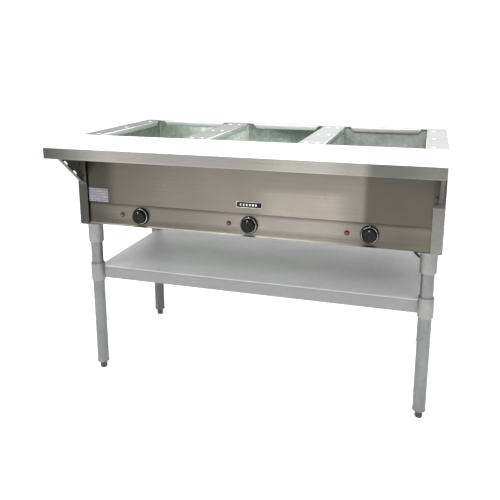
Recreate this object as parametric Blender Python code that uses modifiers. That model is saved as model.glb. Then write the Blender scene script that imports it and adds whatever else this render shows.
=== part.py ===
"""A three-well electric steam table: a stainless body on four round legs, with a cutting board along its
front, an adjustable undershelf, three controls, and a mains cord put away on the ledge behind.

Metres, +Z up. The origin is on the floor, under the middle of the whole table. +X is to the right of
someone who faces the controls, and -Y points at that person.
"""

import math

import bmesh
import bpy
from mathutils import Matrix, Vector

# Driving dimensions
GAP = 0.0003  # between touching pieces
SHEET = 0.0012
OPENING_X, OPENING_Y = 0.305, 0.505
WELLS = 3
DIVIDER, END_RAIL = 0.085, 0.0685
TOP_X = WELLS * OPENING_X + (WELLS - 1) * DIVIDER + 2 * END_RAIL
FRONT_RAIL, REAR_RAIL = 0.033, 0.0295
TOP_Z = 0.876
REAR_Y = 0.3835  # the top's rear edge, and half of the table's depth
OPENING_BACK = REAR_Y - REAR_RAIL
OPENING_FRONT = OPENING_BACK - OPENING_Y
TOP_FRONT = OPENING_FRONT - FRONT_RAIL
SKIRT, TAB, NOTCH, TAB_SLANT = 0.018, 0.018, 0.022, 0.012
BODY_BOTTOM = 0.568
BODY_TOP = TOP_Z - SHEET - GAP

# The body's sheets
END_X = TOP_X / 2 - SHEET - GAP  # outer face of an end panel
STRIP_Y = TOP_FRONT + SHEET + GAP  # front face of the end panels' front flanges
STRIP_X = END_X - 0.035  # inner edge of those flanges
PANEL_Y = STRIP_Y + 0.006  # front face of the upper front panel
CREASE_Z = 0.6465
CONTROL_Y = PANEL_Y + SHEET + GAP  # front face of the control panel
LIP_Z = 0.578
BOTTOM_FLANGE = 0.050
LEDGE = 0.070  # the rear panel's bottom flange, which carries the put-away cord
TROUGH_BACK = -0.112
PAN_FLOOR = 0.673
PAN_SHEET = 0.0008
ELEMENT_RUNS = (-0.11, -0.04, 0.04, 0.11)  # the element's long runs, from the well's middle
TERMINAL_Y, ELEMENT_BEND = -0.135, 0.012

# Controls
KNOB_X, CONTROL_PITCH, KNOB_Z = -0.377, 0.3855, 0.609
LIGHT_OFFSET = -0.0695
KNOB_R, KNOB_H = 0.029, 0.0215
SHAFT_R = 0.003
BUSHING_R = 0.005

# The cutting board and what carries it
BOARD_X, BOARD_FRONT, BOARD_TOP = 1.214, -0.3835, 0.883
SHELF_X, SHELF_FRONT, NOSING = 1.205, -0.375, 0.035
SHELF_Z = 0.864
SHELF_SHEET = 0.0015
SHELF_BACK = TOP_FRONT - 0.0005
BRACKET_SHEET = 0.002
BRACKET_X = SHELF_X / 2 - SHELF_SHEET - 0.0005  # outer face of a bracket's web
BRACKET_LOW = 0.716
BRACKET_REACH = 0.176
BOLT_X, BOLT_HEIGHTS = 0.5825, (0.719, 0.738)

# Legs and undershelf
LEG_X, LEG_FRONT, LEG_BACK = 0.573, -0.1445, 0.3515
LEG_R, LEG_WALL = 0.0206, 0.0016
LEG_BOTTOM, LEG_TOP = 0.0265, 0.560
LEG_SIDES = 20
SOCKET_R, SOCKET_BOTTOM = 0.0262, 0.494
PLATE = 0.003
FOOT_R, STEM_R = 0.0115, 0.008
UNDERSHELF_Z, UNDERSHELF_EDGE = 0.4015, 0.043
COLLAR_R, COLLAR_LOW, COLLAR_HIGH = 0.0246, 0.349, 0.4155

# The mains cord
CORD_R = 0.0045
RELIEF = (0.487, TROUGH_BACK, 0.600)
RELIEF_LENGTH = 0.033
HANK_LEFT, HANK_RIGHT = 0.352, 0.463  # centres of the hank's end loops
HANK_Y, HANK_LOOP = 0.3505, 0.0225
HANK_LAYERS, HANK_PITCH = 4, 0.0094
HANK_BOTTOM = BODY_BOTTOM + SHEET + 0.0022
RUN_Y = HANK_Y - HANK_LOOP
HANK_TOP_RUN = HANK_BOTTOM + HANK_PITCH * (HANK_LAYERS - 0.5)
ROUTE = [
    (0.487, -0.0785, 0.600),
    (0.487, -0.060, 0.5995),
    (0.491, -0.042, 0.590),
    (0.501, -0.033, 0.567),
    (0.515, -0.030, 0.541),
    (0.532, -0.027, 0.516),
    (0.551, -0.017, 0.497),
    (0.565, 0.006, 0.489),
    (0.570, 0.042, 0.4885),
    (0.568, 0.090, 0.492),
    (0.562, 0.140, 0.500),
    (0.555, 0.190, 0.514),
    (0.550, 0.232, 0.534),
    (0.548, 0.262, 0.553),
    (0.547, 0.286, 0.570),
    (0.541, 0.307, 0.5845),
    (0.528, 0.3215, 0.595),
    (0.512, 0.3272, 0.6012),
    (0.498, RUN_Y, 0.6038),
    (0.4838, RUN_Y, HANK_TOP_RUN),
]

for old in list(bpy.data.objects):
    bpy.data.objects.remove(old, do_unlink=True)


def collection(name):
    made = bpy.data.collections.new(name)
    bpy.context.scene.collection.children.link(made)
    return made


PARTS = collection("steam_table")
CUTTERS = collection("cutters")


def material(name, color, roughness, metallic):
    made = bpy.data.materials.new(name)
    made.use_nodes = True
    shader = made.node_tree.nodes["Principled BSDF"]
    shader.inputs["Base Color"].default_value = (*color, 1)
    shader.inputs["Roughness"].default_value = roughness
    shader.inputs["Metallic"].default_value = metallic
    return made


STAINLESS = material("stainless", (0.42, 0.41, 0.38), 0.35, 1.0)
TOP_STEEL = material("top_steel", (0.62, 0.62, 0.60), 0.3, 1.0)
GALVANISED = material("galvanised", (0.45, 0.46, 0.46), 0.5, 1.0)
PAN_METAL = material("pan_metal", (0.30, 0.36, 0.31), 0.4, 1.0)
ELEMENT = material("element", (0.12, 0.12, 0.11), 0.5, 1.0)
CHROME = material("chrome", (0.75, 0.75, 0.75), 0.12, 1.0)
BLACK = material("black_plastic", (0.015, 0.015, 0.015), 0.35, 0.0)
RED = material("red_lens", (0.35, 0.01, 0.02), 0.2, 0.0)
WHITE = material("board_white", (0.85, 0.85, 0.84), 0.45, 0.0)
LABEL = material("label", (0.55, 0.57, 0.60), 0.4, 0.0)
RUBBER = material("cord_rubber", (0.02, 0.02, 0.02), 0.55, 0.0)

UP, BACKWARD = Vector((0, 0, 1)), Vector((0, 1, 0))


def add(name, mesh, mat, group=PARTS):
    """Puts a mesh in the scene as a named object."""
    made = bpy.data.objects.new(name, mesh)
    group.objects.link(made)
    if mat:
        mesh.materials.clear()
        mesh.materials.append(mat)
    if group is CUTTERS:
        made.hide_render = True
        made.display_type = "WIRE"
    return made


def to_mesh(name, bm):
    mesh = bpy.data.meshes.new(name)
    bm.to_mesh(mesh)
    bm.free()
    return mesh


def box_mesh(name, low, high):
    bm = bmesh.new()
    bmesh.ops.create_cube(bm, size=1)
    size = Vector(high) - Vector(low)
    middle = (Vector(high) + Vector(low)) / 2
    bmesh.ops.scale(bm, vec=size, verts=bm.verts)
    bmesh.ops.translate(bm, vec=middle, verts=bm.verts)
    return to_mesh(name, bm)


def box(name, low, high, mat, bevel=0.0):
    made = add(name, box_mesh(name, low, high), mat)
    if bevel:
        soften = made.modifiers.new("edges", "BEVEL")
        soften.width = bevel
        soften.segments = 2
    return made


def rods(name, places, radius, length, axis="Z", segments=24, mat=None):
    """Round bars at several places in one mesh, each centred on its place: used as cutters and cores."""
    turn = Matrix() if axis == "Z" else Matrix.Rotation(math.pi / 2, 4, "X" if axis == "Y" else "Y")
    bm = bmesh.new()
    for place in places:
        bmesh.ops.create_cone(
            bm,
            cap_ends=True,
            segments=segments,
            radius1=radius,
            radius2=radius,
            depth=length,
            matrix=Matrix.Translation(place) @ turn,
        )
    return add(name, to_mesh(name, bm), mat, PARTS if mat else CUTTERS)


def boolean(made, other, operation="DIFFERENCE"):
    step = made.modifiers.new(other.name, "BOOLEAN")
    step.operation = operation
    step.object = other
    return made


def folded_sheet(name, bm, outward, mat, thickness=SHEET):
    """Makes a piece from an open surface: its largest face looks outward, and the metal lies behind it."""
    bmesh.ops.recalc_face_normals(bm, faces=bm.faces)
    largest = max(bm.faces, key=lambda face: face.calc_area())
    if largest.normal.dot(outward) < 0:
        bmesh.ops.reverse_faces(bm, faces=bm.faces)
    made = add(name, to_mesh(name, bm), mat)
    step = made.modifiers.new("thickness", "SOLIDIFY")
    step.thickness = thickness
    step.offset = -1
    step.use_even_offset = True
    return made


def grid(xs, ys, z):
    """A flat sheet in a bmesh, with grid lines at the given places."""
    bm = bmesh.new()
    bmesh.ops.create_grid(bm, x_segments=len(xs) - 1, y_segments=len(ys) - 1, size=1)
    for vert in bm.verts:
        column = round((vert.co.x + 1) / 2 * (len(xs) - 1))
        row = round((vert.co.y + 1) / 2 * (len(ys) - 1))
        vert.co = Vector((xs[column], ys[row], z))
    return bm


def edges_where(bm, test):
    return [edge for edge in bm.edges if all(test(vert.co) for vert in edge.verts)]


def fold(bm, edges, shift, slant=0.0, along=None):
    """Folds a flange out from some edges. slant pulls the flange's ends in, along an axis."""
    out = bmesh.ops.extrude_edge_only(bm, edges=edges)["geom"]
    verts = [item for item in out if isinstance(item, bmesh.types.BMVert)]
    bmesh.ops.translate(bm, vec=shift, verts=verts)
    if slant:
        places = [vert.co[along] for vert in verts]
        low, high = min(places), max(places)
        for vert in verts:
            if abs(vert.co[along] - low) < 1e-6:
                vert.co[along] += slant
            elif abs(vert.co[along] - high) < 1e-6:
                vert.co[along] -= slant
    return [item for item in out if isinstance(item, bmesh.types.BMEdge)]


def near(a, b):
    return abs(a - b) < 1e-5


def turned(name, profile, mat, place, axis="Z", steps=24):
    """A turned piece. profile holds (radius, height) pairs down its outer side, from top to bottom."""
    bm = bmesh.new()
    verts = [bm.verts.new((radius, 0, height)) for radius, height in profile]
    edges = [bm.edges.new(pair) for pair in zip(verts, verts[1:])]
    around = {"axis": (0, 0, 1), "cent": (0, 0, 0), "angle": 2 * math.pi, "steps": steps}
    bmesh.ops.spin(bm, geom=verts + edges, **around)
    bmesh.ops.remove_doubles(bm, verts=bm.verts, dist=0.00001)
    bmesh.ops.recalc_face_normals(bm, faces=bm.faces)
    mesh = to_mesh(name, bm)
    mesh.shade_smooth()
    mesh.set_sharp_from_angle(angle=math.radians(35))
    made = add(name, mesh, mat)
    made.location = place
    if axis == "-Y":
        made.rotation_euler = (math.pi / 2, 0, 0)
    if axis == "Y":
        made.rotation_euler = (-math.pi / 2, 0, 0)
    return made


def well_x(i):
    return (i - (WELLS - 1) / 2) * (OPENING_X + DIVIDER)


def knob_x(i):
    return KNOB_X + i * CONTROL_PITCH


def leg_places():
    return [(side * LEG_X, y) for y in (LEG_FRONT, LEG_BACK) for side in (-1, 1)]


def outline_mesh(name, loops, thickness):
    """A flat plate in the XY plane from closed outlines: the first is the rim, the others are holes."""
    curve = bpy.data.curves.new(name, "CURVE")
    curve.dimensions = "2D"
    curve.fill_mode = "BOTH"
    curve.extrude = thickness / 2
    for loop in loops:
        spline = curve.splines.new("POLY")
        spline.points.add(len(loop) - 1)
        for point, place in zip(spline.points, loop):
            point.co = (*place, 0, 1)
        spline.use_cyclic_u = True
    bare = bpy.data.objects.new(name, curve)
    bpy.context.scene.collection.objects.link(bare)
    seen = bare.evaluated_get(bpy.context.evaluated_depsgraph_get())
    mesh = bpy.data.meshes.new_from_object(seen)
    bpy.data.objects.remove(bare)
    bm = bmesh.new()
    bm.from_mesh(mesh)
    bpy.data.meshes.remove(mesh)
    bmesh.ops.remove_doubles(bm, verts=bm.verts, dist=0.00001)
    bmesh.ops.recalc_face_normals(bm, faces=bm.faces)
    return to_mesh(name, bm)


def slot_outline(centre, length, width, angle, steps=6):
    """A slot with round ends, as points."""
    points = []
    for end in (1, -1):
        for step in range(steps + 1):
            turn = math.pi * (step / steps - 0.5) + (0 if end > 0 else math.pi)
            x = end * (length - width) / 2 + width / 2 * math.cos(turn)
            y = width / 2 * math.sin(turn)
            points.append(
                (
                    centre[0] + x * math.cos(angle) - y * math.sin(angle),
                    centre[1] + x * math.sin(angle) + y * math.cos(angle),
                )
            )
    return points


def tube(name, points, radius, mat, resolution=2):
    curve = bpy.data.curves.new(name, "CURVE")
    curve.dimensions = "3D"
    curve.bevel_depth = radius
    curve.bevel_resolution = resolution
    curve.use_fill_caps = True
    spline = curve.splines.new("POLY")
    spline.points.add(len(points) - 1)
    for point, place in zip(spline.points, points):
        point.co = (*place, 1)
    curve.materials.append(mat)
    made = bpy.data.objects.new(name, curve)
    PARTS.objects.link(made)
    return made


def catmull(points, spacing):
    """Evenly spaced points on a smooth curve through the given points."""
    ends = [points[0] * 2 - points[1], *points, points[-1] * 2 - points[-2]]
    fine = []
    for a, b, c, d in zip(ends, ends[1:], ends[2:], ends[3:]):
        for step in range(20):
            t = step / 20
            square, cube = (2 * a - 5 * b + 4 * c - d) * t**2, (3 * b - a - 3 * c + d) * t**3
            fine.append(0.5 * (2 * b + (c - a) * t + square + cube))
    fine.append(points[-1])
    total = sum((q - p).length for p, q in zip(fine, fine[1:]))
    count = round(total / spacing)
    out, walked, goal = [fine[0]], 0.0, total / count
    for p, q in zip(fine, fine[1:]):
        step = (q - p).length
        while walked + step >= goal and len(out) < count:
            out.append(p.lerp(q, (goal - walked) / step))
            goal += total / count
        walked += step
    return [*out, fine[-1]]


# The top and the body's sheets


def make_top_sheet():
    xs = [-TOP_X / 2]
    for i in range(WELLS):
        xs += [well_x(i) - OPENING_X / 2, well_x(i) + OPENING_X / 2]
    xs.append(TOP_X / 2)
    bm = grid(xs, [TOP_FRONT, OPENING_FRONT, OPENING_BACK, REAR_Y], TOP_Z)

    def in_opening(place):
        inside_y = OPENING_FRONT < place.y < OPENING_BACK
        return inside_y and any(abs(place.x - well_x(i)) < OPENING_X / 2 for i in range(WELLS))

    holes = [face for face in bm.faces if in_opening(face.calc_center_median())]
    bmesh.ops.delete(bm, geom=holes, context="FACES")
    rim = edges_where(bm, lambda c: near(abs(c.x), TOP_X / 2) or near(c.y, TOP_FRONT) or near(c.y, REAR_Y))
    fold(bm, [edge for edge in rim if edge.is_boundary], Vector((0, 0, -SKIRT)))
    made = folded_sheet("top_sheet", bm, UP, TOP_STEEL)
    boolean(made, add("tabs", tabs_mesh(), None, CUTTERS), "UNION")
    boolean(made, add("dimples", dimples_mesh(), None, CUTTERS), "UNION")


def tabs_mesh():
    """The turned-down tabs round the openings: upright plates with slanting ends, sunk into the sheet."""
    bm = bmesh.new()
    high, low = TOP_Z - SHEET / 3, TOP_Z - TAB
    middle_y = (OPENING_FRONT + OPENING_BACK) / 2
    for i in range(WELLS):
        sides = [(OPENING_X / 2, OPENING_Y / 2, way * math.pi / 2) for way in (1, -1)]
        sides += [(OPENING_Y / 2, OPENING_X / 2, way * math.pi / 2 + math.pi / 2) for way in (1, -1)]
        for half_length, reach, turn in sides:
            verts = bmesh.ops.create_cube(bm, size=1)["verts"]
            for vert in verts:
                half = half_length - NOTCH - (TAB_SLANT if vert.co.z < 0 else 0)
                vert.co.x = math.copysign(half, vert.co.x)
                vert.co.y = reach + 0.0002 + (SHEET if vert.co.y > 0 else 0)
                vert.co.z = high if vert.co.z > 0 else low
            spin = Matrix.Translation((well_x(i), middle_y, 0)) @ Matrix.Rotation(turn - math.pi / 2, 4, "Z")
            bmesh.ops.transform(bm, matrix=spin, verts=verts)
    return to_mesh("tabs", bm)


def dimples_mesh():
    """Low round bosses in rows of three, two rows on each divider and one on each end rail."""
    bm = bmesh.new()
    columns = [side * (TOP_X / 2 - END_RAIL * 0.66) for side in (-1, 1)]
    for i in range(WELLS - 1):
        left = well_x(i) + OPENING_X / 2
        columns += [left + DIVIDER * share for share in (0.29, 0.71)]
    middle = (OPENING_FRONT + OPENING_BACK) / 2
    for x in columns:
        for y in (middle - 0.205, middle, middle + 0.205):
            bmesh.ops.create_cone(
                bm,
                cap_ends=True,
                segments=10,
                radius1=0.008,
                radius2=0.0055,
                depth=0.0021,
                matrix=Matrix.Translation((x, y, TOP_Z + 0.00045)),
            )
    return to_mesh("dimples", bm)


def make_end_panel(side):
    name = "end_panel_left" if side < 0 else "end_panel_right"
    x = side * END_X
    bm = grid([0, 1], [0, 1, 2, 3], 0)
    back = REAR_Y - SHEET - GAP
    rows = [STRIP_Y, STRIP_Y + 0.006, back - 0.004, back]
    for vert in bm.verts:
        across, along = vert.co.x, round(vert.co.y)
        vert.co = Vector((x, rows[along], BODY_TOP if across > 0.5 else BODY_BOTTOM))
    inward = Vector((-side, 0, 0))
    front = edges_where(bm, lambda c: near(c.y, STRIP_Y))
    fold(bm, front, inward * (END_X - STRIP_X))
    low = edges_where(bm, lambda c: near(c.z, BODY_BOTTOM) and rows[1] - 0.001 < c.y < rows[2] + 0.001)
    fold(bm, low, inward * BOTTOM_FLANGE, 0.004, 1)
    made = folded_sheet(name, bm, -inward, STAINLESS)
    holes = [(side * BOLT_X, STRIP_Y, z) for z in BOLT_HEIGHTS]
    boolean(made, rods(name + "_holes", holes, 0.0034, 0.02, "Y", 16))


def make_rear_panel():
    wide, narrow = END_X - SHEET - GAP, END_X - BOTTOM_FLANGE - 0.004
    bm = grid([-wide, -narrow, narrow, wide], [BODY_BOTTOM, BODY_TOP], 0)
    for vert in bm.verts:
        vert.co = Vector((vert.co.x, REAR_Y - SHEET - GAP, vert.co.y))
    bottom = edges_where(bm, lambda c: near(c.z, BODY_BOTTOM) and abs(c.x) < narrow + 0.001)
    fold(bm, bottom, Vector((0, -LEDGE, 0)))
    folded_sheet("rear_panel", bm, BACKWARD, STAINLESS)


def upright(xs, zs, y):
    """A grid in the XZ plane, facing -Y."""
    bm = grid(xs, zs, 0)
    for vert in bm.verts:
        vert.co = Vector((vert.co.x, y, vert.co.y))
    return bm


def make_front_panel():
    half = END_X - 0.0095
    bm = upright([-half, half], [CREASE_Z, BODY_TOP], PANEL_Y)
    top = edges_where(bm, lambda c: near(c.z, BODY_TOP))
    fold(bm, top, Vector((0, 0.008, 0)))
    folded_sheet("front_panel", bm, -BACKWARD, STAINLESS)


def make_control_panel():
    half, lip = END_X - 0.0115, STRIP_X - 0.0005
    bm = upright([-half, -lip, lip, half], [LIP_Z, CREASE_Z + 0.013], CONTROL_Y)
    edge = edges_where(bm, lambda c: near(c.z, LIP_Z) and abs(c.x) < lip + 0.001)
    edge = fold(bm, edge, Vector((0, -0.006, -0.008)))
    outer = [e for e in edge if e.is_boundary and all(near(v.co.z, LIP_Z - 0.008) for v in e.verts)]
    fold(bm, outer, Vector((0, 0.020, 0)), 0.004, 0)
    made = folded_sheet("control_panel", bm, -BACKWARD, STAINLESS)
    knobs = [(knob_x(i), CONTROL_Y, KNOB_Z) for i in range(WELLS)]
    lights = [(knob_x(i) + LIGHT_OFFSET, CONTROL_Y, KNOB_Z) for i in range(WELLS)]
    boolean(made, rods("knob_holes", knobs, BUSHING_R + 0.0004, 0.02, "Y"))
    boolean(made, rods("light_holes", lights, 0.007, 0.02, "Y"))


def make_control_trough():
    half = END_X - BOTTOM_FLANGE - 0.004
    front, low = CONTROL_Y + SHEET + GAP, LIP_Z - 0.008 + SHEET + GAP
    bm = grid([-half, half], [front, TROUGH_BACK], low)
    walls = edges_where(bm, lambda c: near(c.y, TROUGH_BACK))
    walls += [e for e in edges_where(bm, lambda c: near(abs(c.x), half)) if e not in walls]
    walls = [e for e in walls if not all(near(v.co.y, front) for v in e.verts)]
    fold(bm, walls, Vector((0, 0, PAN_FLOOR - PAN_SHEET - 0.002 - low)))
    made = folded_sheet("control_trough", bm, BACKWARD, GALVANISED)
    boolean(made, rods("relief_hole", [RELIEF], 0.0085, 0.02, "Y"))


def make_well(i):
    """A well liner and the heating element that lies on its floor."""
    name = f"well_liner_{i + 1}"
    half_x = OPENING_X / 2 + SHEET + 0.0008
    front, back = OPENING_FRONT - SHEET - 0.0008, OPENING_BACK + SHEET + 0.0008
    x = well_x(i)
    bm = grid([x - half_x, x + half_x], [front, back], PAN_FLOOR)
    rim = fold(bm, [e for e in bm.edges if e.is_boundary], Vector((0, 0, BODY_TOP - PAN_FLOOR)))
    rim = [e for e in rim if e.is_boundary]
    out = bmesh.ops.extrude_edge_only(bm, edges=rim)["geom"]
    centre_y = (front + back) / 2
    for vert in [item for item in out if isinstance(item, bmesh.types.BMVert)]:
        vert.co.x += math.copysign(0.012, vert.co.x - x)
        vert.co.y += math.copysign(0.012, vert.co.y - centre_y)
    made = folded_sheet(name, bm, UP, PAN_METAL, PAN_SHEET)
    radius = 0.004
    crossing = 0.3 * ELEMENT_BEND  # how far the bend has moved on where it passes the floor
    terminals = [(x + run, TERMINAL_Y + crossing, PAN_FLOOR) for run in (ELEMENT_RUNS[0], ELEMENT_RUNS[-1])]
    boolean(made, rods(name + "_holes", terminals, radius + crossing, 0.01, "Z", 16))
    tube(f"heating_element_{i + 1}", element_path(x, radius), radius, ELEMENT)


def element_path(x, radius):
    """Down-turned ends, four long runs and three round turns, flat on the well's floor."""
    z, bend, runs = PAN_FLOOR + radius + GAP, ELEMENT_BEND, ELEMENT_RUNS
    near_y, far_y, turn_y = TERMINAL_Y, 0.300, -0.075

    def down(run, order):
        arc = []
        for step in range(5):
            a = math.pi / 2 * step / 4
            arc.append(Vector((x + run, near_y + bend * (1 - math.cos(a)), z - bend * (1 - math.sin(a)))))
        points = [Vector((x + run, near_y, PAN_FLOOR - 0.030)), *arc]
        return points if order > 0 else points[::-1]

    def turn(left, right, y, way):
        middle, reach = (left + right) / 2, (right - left) / 2
        steps = [math.pi * step / 6 for step in range(7)]
        return [Vector((x + middle - reach * math.cos(a), y + way * reach * math.sin(a), z)) for a in steps]

    path = down(runs[0], 1)
    path += turn(runs[0], runs[1], far_y, 1)
    path += turn(runs[1], runs[2], turn_y, -1)
    path += turn(runs[2], runs[3], far_y, 1)
    return path + down(runs[3], -1)


# Controls


def make_control(i):
    x = knob_x(i)
    back = CONTROL_Y + SHEET + GAP
    name = f"control_switch_{i + 1}"
    body = box(name, (x - 0.019, back, KNOB_Z - 0.019), (x + 0.019, back + 0.032, KNOB_Z + 0.019), BLACK)
    bushing = rods(name + "_bushing", [(x, back - 0.001, KNOB_Z)], BUSHING_R, 0.006, "Y")
    boolean(body, bushing, "UNION")
    boolean(body, rods(name + "_bore", [(x, back, KNOB_Z)], SHAFT_R + GAP, 0.030, "Y"))
    face = CONTROL_Y - 0.0025
    shaft_length = 0.026
    middle = face - 0.0125 + shaft_length / 2
    shaft = rods(f"switch_shaft_{i + 1}", [(0, 0, 0)], SHAFT_R, shaft_length, "Y", mat=GALVANISED)
    shaft.location = (x, middle, KNOB_Z)
    knob = [
        (0, KNOB_H),
        (KNOB_R * 0.70, KNOB_H),
        (KNOB_R * 0.76, KNOB_H - 0.0015),
        (KNOB_R * 0.81, 0.0055),
        (KNOB_R * 0.81, 0.0045),
        (KNOB_R * 0.97, 0.0045),
        (KNOB_R, 0.0035),
        (KNOB_R, 0),
        (SHAFT_R + GAP, 0),
        (SHAFT_R + GAP, 0.014),
        (0, 0.014),
    ]
    turned(f"knob_{i + 1}", knob, BLACK, (x, face, KNOB_Z), "-Y")
    low, high = 0.0045 + GAP, 0.0062
    inner, outer = KNOB_R * 0.81 + GAP, KNOB_R * 0.91
    ring = [(inner, high), (outer, high), (outer, low), (inner, low), (inner, high)]
    turned(f"knob_ring_{i + 1}", ring, CHROME, (x, face, KNOB_Z), "-Y")
    light = [(0, 0.0052), (0.004, 0.0046), (0.0065, 0.003), (0.0068, 0.002), (0.0085, 0.0015), (0.0085, 0)]
    light += [(0.0066, 0), (0.0066, -0.018), (0, -0.018)]
    turned(f"pilot_light_{i + 1}", light, RED, (x + LIGHT_OFFSET, CONTROL_Y - GAP, KNOB_Z), "-Y", 16)


# The cutting board and what carries it


def make_board():
    low = (-BOARD_X / 2, BOARD_FRONT, SHELF_Z + GAP)
    box("cutting_board", low, (BOARD_X / 2, SHELF_BACK, BOARD_TOP), WHITE, 0.002)


def make_board_shelf():
    half, inner = SHELF_X / 2, STRIP_X - 0.006
    bm = grid([-half, -inner, inner, half], [SHELF_FRONT, SHELF_BACK], SHELF_Z)
    down = Vector((0, 0, -NOSING))
    edges = [e for e in bm.edges if e.is_boundary]
    back = [e for e in edges if all(near(v.co.y, SHELF_BACK) for v in e.verts)]
    rest = [e for e in edges if e not in back]
    middle = [e for e in back if all(abs(v.co.x) < inner + 0.001 for v in e.verts)]
    fold(bm, rest, down)
    fold(bm, middle, down * 0.7)
    low = SHELF_Z - NOSING
    lip = edges_where(bm, lambda c: near(c.y, SHELF_FRONT) and near(c.z, low))
    fold(bm, lip, Vector((0, 0.012, 0)), 0.010, 0)
    folded_sheet("board_shelf", bm, UP, STAINLESS, SHELF_SHEET)


def make_bracket(side):
    """A folded triangular bracket: web, wall flange, top flange and slanting edge flange."""
    name = "board_bracket_left" if side < 0 else "board_bracket_right"
    wall, high = STRIP_Y - GAP, SHELF_Z - SHELF_SHEET - GAP
    slope = math.atan2(high - BRACKET_LOW, BRACKET_REACH)
    rise, run = math.sin(slope), math.cos(slope)
    rim = [
        (wall - 0.0004, BRACKET_LOW),
        (wall - 0.0004, high - 0.010),
        (TOP_FRONT - 0.0012, high - 0.010),
        (TOP_FRONT - 0.0012, high - 0.0004),
        (wall - BRACKET_REACH, high - 0.0004),
    ]
    slots = []
    for share in (0.21, 0.49):
        along = share * math.hypot(BRACKET_REACH, high - BRACKET_LOW)
        centre = (wall - along * run + 0.0095 * rise, BRACKET_LOW + along * rise + 0.0095 * run)
        slots.append(slot_outline(centre, 0.026, 0.011, math.pi - slope))
    web = outline_mesh(name, [rim, *slots], BRACKET_SHEET)
    lay = Matrix(((0, 0, side, 0), (1, 0, 0, 0), (0, 1, 0, 0), (0, 0, 0, 1)))
    web.transform(Matrix.Translation((side * (BRACKET_X - BRACKET_SHEET / 2), 0, 0)) @ lay)
    if side < 0:
        web.flip_normals()
    made = add(name, web, STAINLESS)
    outer, thick = side * (BRACKET_X - 0.0003), BRACKET_SHEET

    def flange(label, inner, low, high_corner):
        xs = sorted((outer, side * inner))
        mesh = box_mesh(label, (xs[0], *low), (xs[1], *high_corner))
        boolean(made, add(label, mesh, None, CUTTERS), "UNION")

    flange(name + "_wall", STRIP_X + 0.002, (wall - thick, BRACKET_LOW - 0.007), (wall, high - 0.0105))
    top_low, top_high = (wall - BRACKET_REACH + 0.006, high - thick), (TOP_FRONT - 0.0015, high)
    flange(name + "_top", BRACKET_X - 0.018, top_low, top_high)
    length = math.hypot(BRACKET_REACH, high - BRACKET_LOW) - 0.012
    edge = box_mesh(name + "_edge", (-0.0055, 0, -thick / 2), (0.0055, length, thick / 2))
    start = (side * (BRACKET_X - 0.006), wall - 0.004, BRACKET_LOW + 0.0045)
    edge.transform(Matrix.Translation(start) @ Matrix.Rotation(math.pi - slope, 4, "X"))
    boolean(made, add(name + "_edge", edge, None, CUTTERS), "UNION")
    holes = [(side * BOLT_X, wall, z) for z in BOLT_HEIGHTS]
    boolean(made, rods(name + "_holes", holes, 0.0034, 0.02, "Y", 16))


def make_bolts():
    face = STRIP_Y - BRACKET_SHEET - 2 * GAP
    profile = [(0, 0.0035), (0.0035, 0.0031), (0.0052, 0.0014), (0.0055, 0)]
    profile += [(0.003, 0), (0.003, -0.008), (0, -0.008)]
    places = [(side * BOLT_X, z) for side in (-1, 1) for z in BOLT_HEIGHTS]
    for number, (x, z) in enumerate(places, 1):
        turned(f"bracket_bolt_{number}", profile, GALVANISED, (x, face, z), "-Y", 16)


# Legs and undershelf


def make_undershelf():
    bm = grid([-LEG_X, LEG_X], [LEG_FRONT, LEG_BACK], UNDERSHELF_Z)
    rim = [e for e in bm.edges if e.is_boundary]
    fold(bm, rim, Vector((0, 0, -UNDERSHELF_EDGE)))
    made = folded_sheet("undershelf", bm, UP, GALVANISED)
    places = [(x, y, UNDERSHELF_Z - UNDERSHELF_EDGE / 2) for x, y in leg_places()]
    boolean(made, rods("collar_notches", places, COLLAR_R + GAP, 0.08, "Z", 32))


def make_leg(number, x, y):
    inner = LEG_R + GAP
    top = BODY_BOTTOM - GAP
    roof = LEG_TOP + GAP
    socket = [
        (0, top - 0.001),
        (SOCKET_R - 0.002, top - 0.001),
        (SOCKET_R, top - 0.004),
        (SOCKET_R, SOCKET_BOTTOM + 0.010),
        (SOCKET_R - 0.0016, SOCKET_BOTTOM),
        (inner, SOCKET_BOTTOM),
        (inner, roof),
        (0, roof),
    ]
    cup = turned(f"leg_socket_{number}", socket, GALVANISED, (x, y, 0), steps=LEG_SIDES)
    outer = math.copysign(0.0355, x)
    centre = Vector((x - math.copysign(0.0005, x), y if y < 0 else y - 0.006, 0))
    low = centre + Vector((-abs(outer), -0.0355, top - PLATE))
    high = centre + Vector((abs(outer), 0.0355, top))
    plate = add(f"socket_plate_{number}", box_mesh("plate", low, high), None, CUTTERS)
    boolean(cup, plate, "UNION")
    leg = [
        (LEG_R, LEG_TOP),
        (LEG_R, LEG_BOTTOM),
        (STEM_R + 0.0004, LEG_BOTTOM),
        (STEM_R + 0.0004, LEG_BOTTOM + 0.008),
        (LEG_R - LEG_WALL, LEG_BOTTOM + 0.008),
        (LEG_R - LEG_WALL, LEG_TOP),
        (LEG_R, LEG_TOP),
    ]
    turned(f"leg_{number}", leg, GALVANISED, (x, y, 0), steps=LEG_SIDES)
    collar = [
        (COLLAR_R - 0.001, COLLAR_HIGH),
        (COLLAR_R, COLLAR_HIGH - 0.002),
        (COLLAR_R, COLLAR_LOW),
        (inner, COLLAR_LOW),
        (inner, COLLAR_HIGH),
        (COLLAR_R - 0.001, COLLAR_HIGH),
    ]
    turned(f"shelf_collar_{number}", collar, GALVANISED, (x, y, 0), steps=LEG_SIDES)
    shoulder = LEG_BOTTOM - GAP
    foot = [
        (0, 0.085),
        (STEM_R, 0.085),
        (STEM_R, shoulder),
        (FOOT_R + 0.001, shoulder),
        (FOOT_R + 0.001, 0.006),
        (FOOT_R, 0.0015),
        (FOOT_R - 0.0015, 0),
        (0, 0),
    ]
    turned(f"foot_{number}", foot, GALVANISED, (x, y, 0), steps=16)


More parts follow.
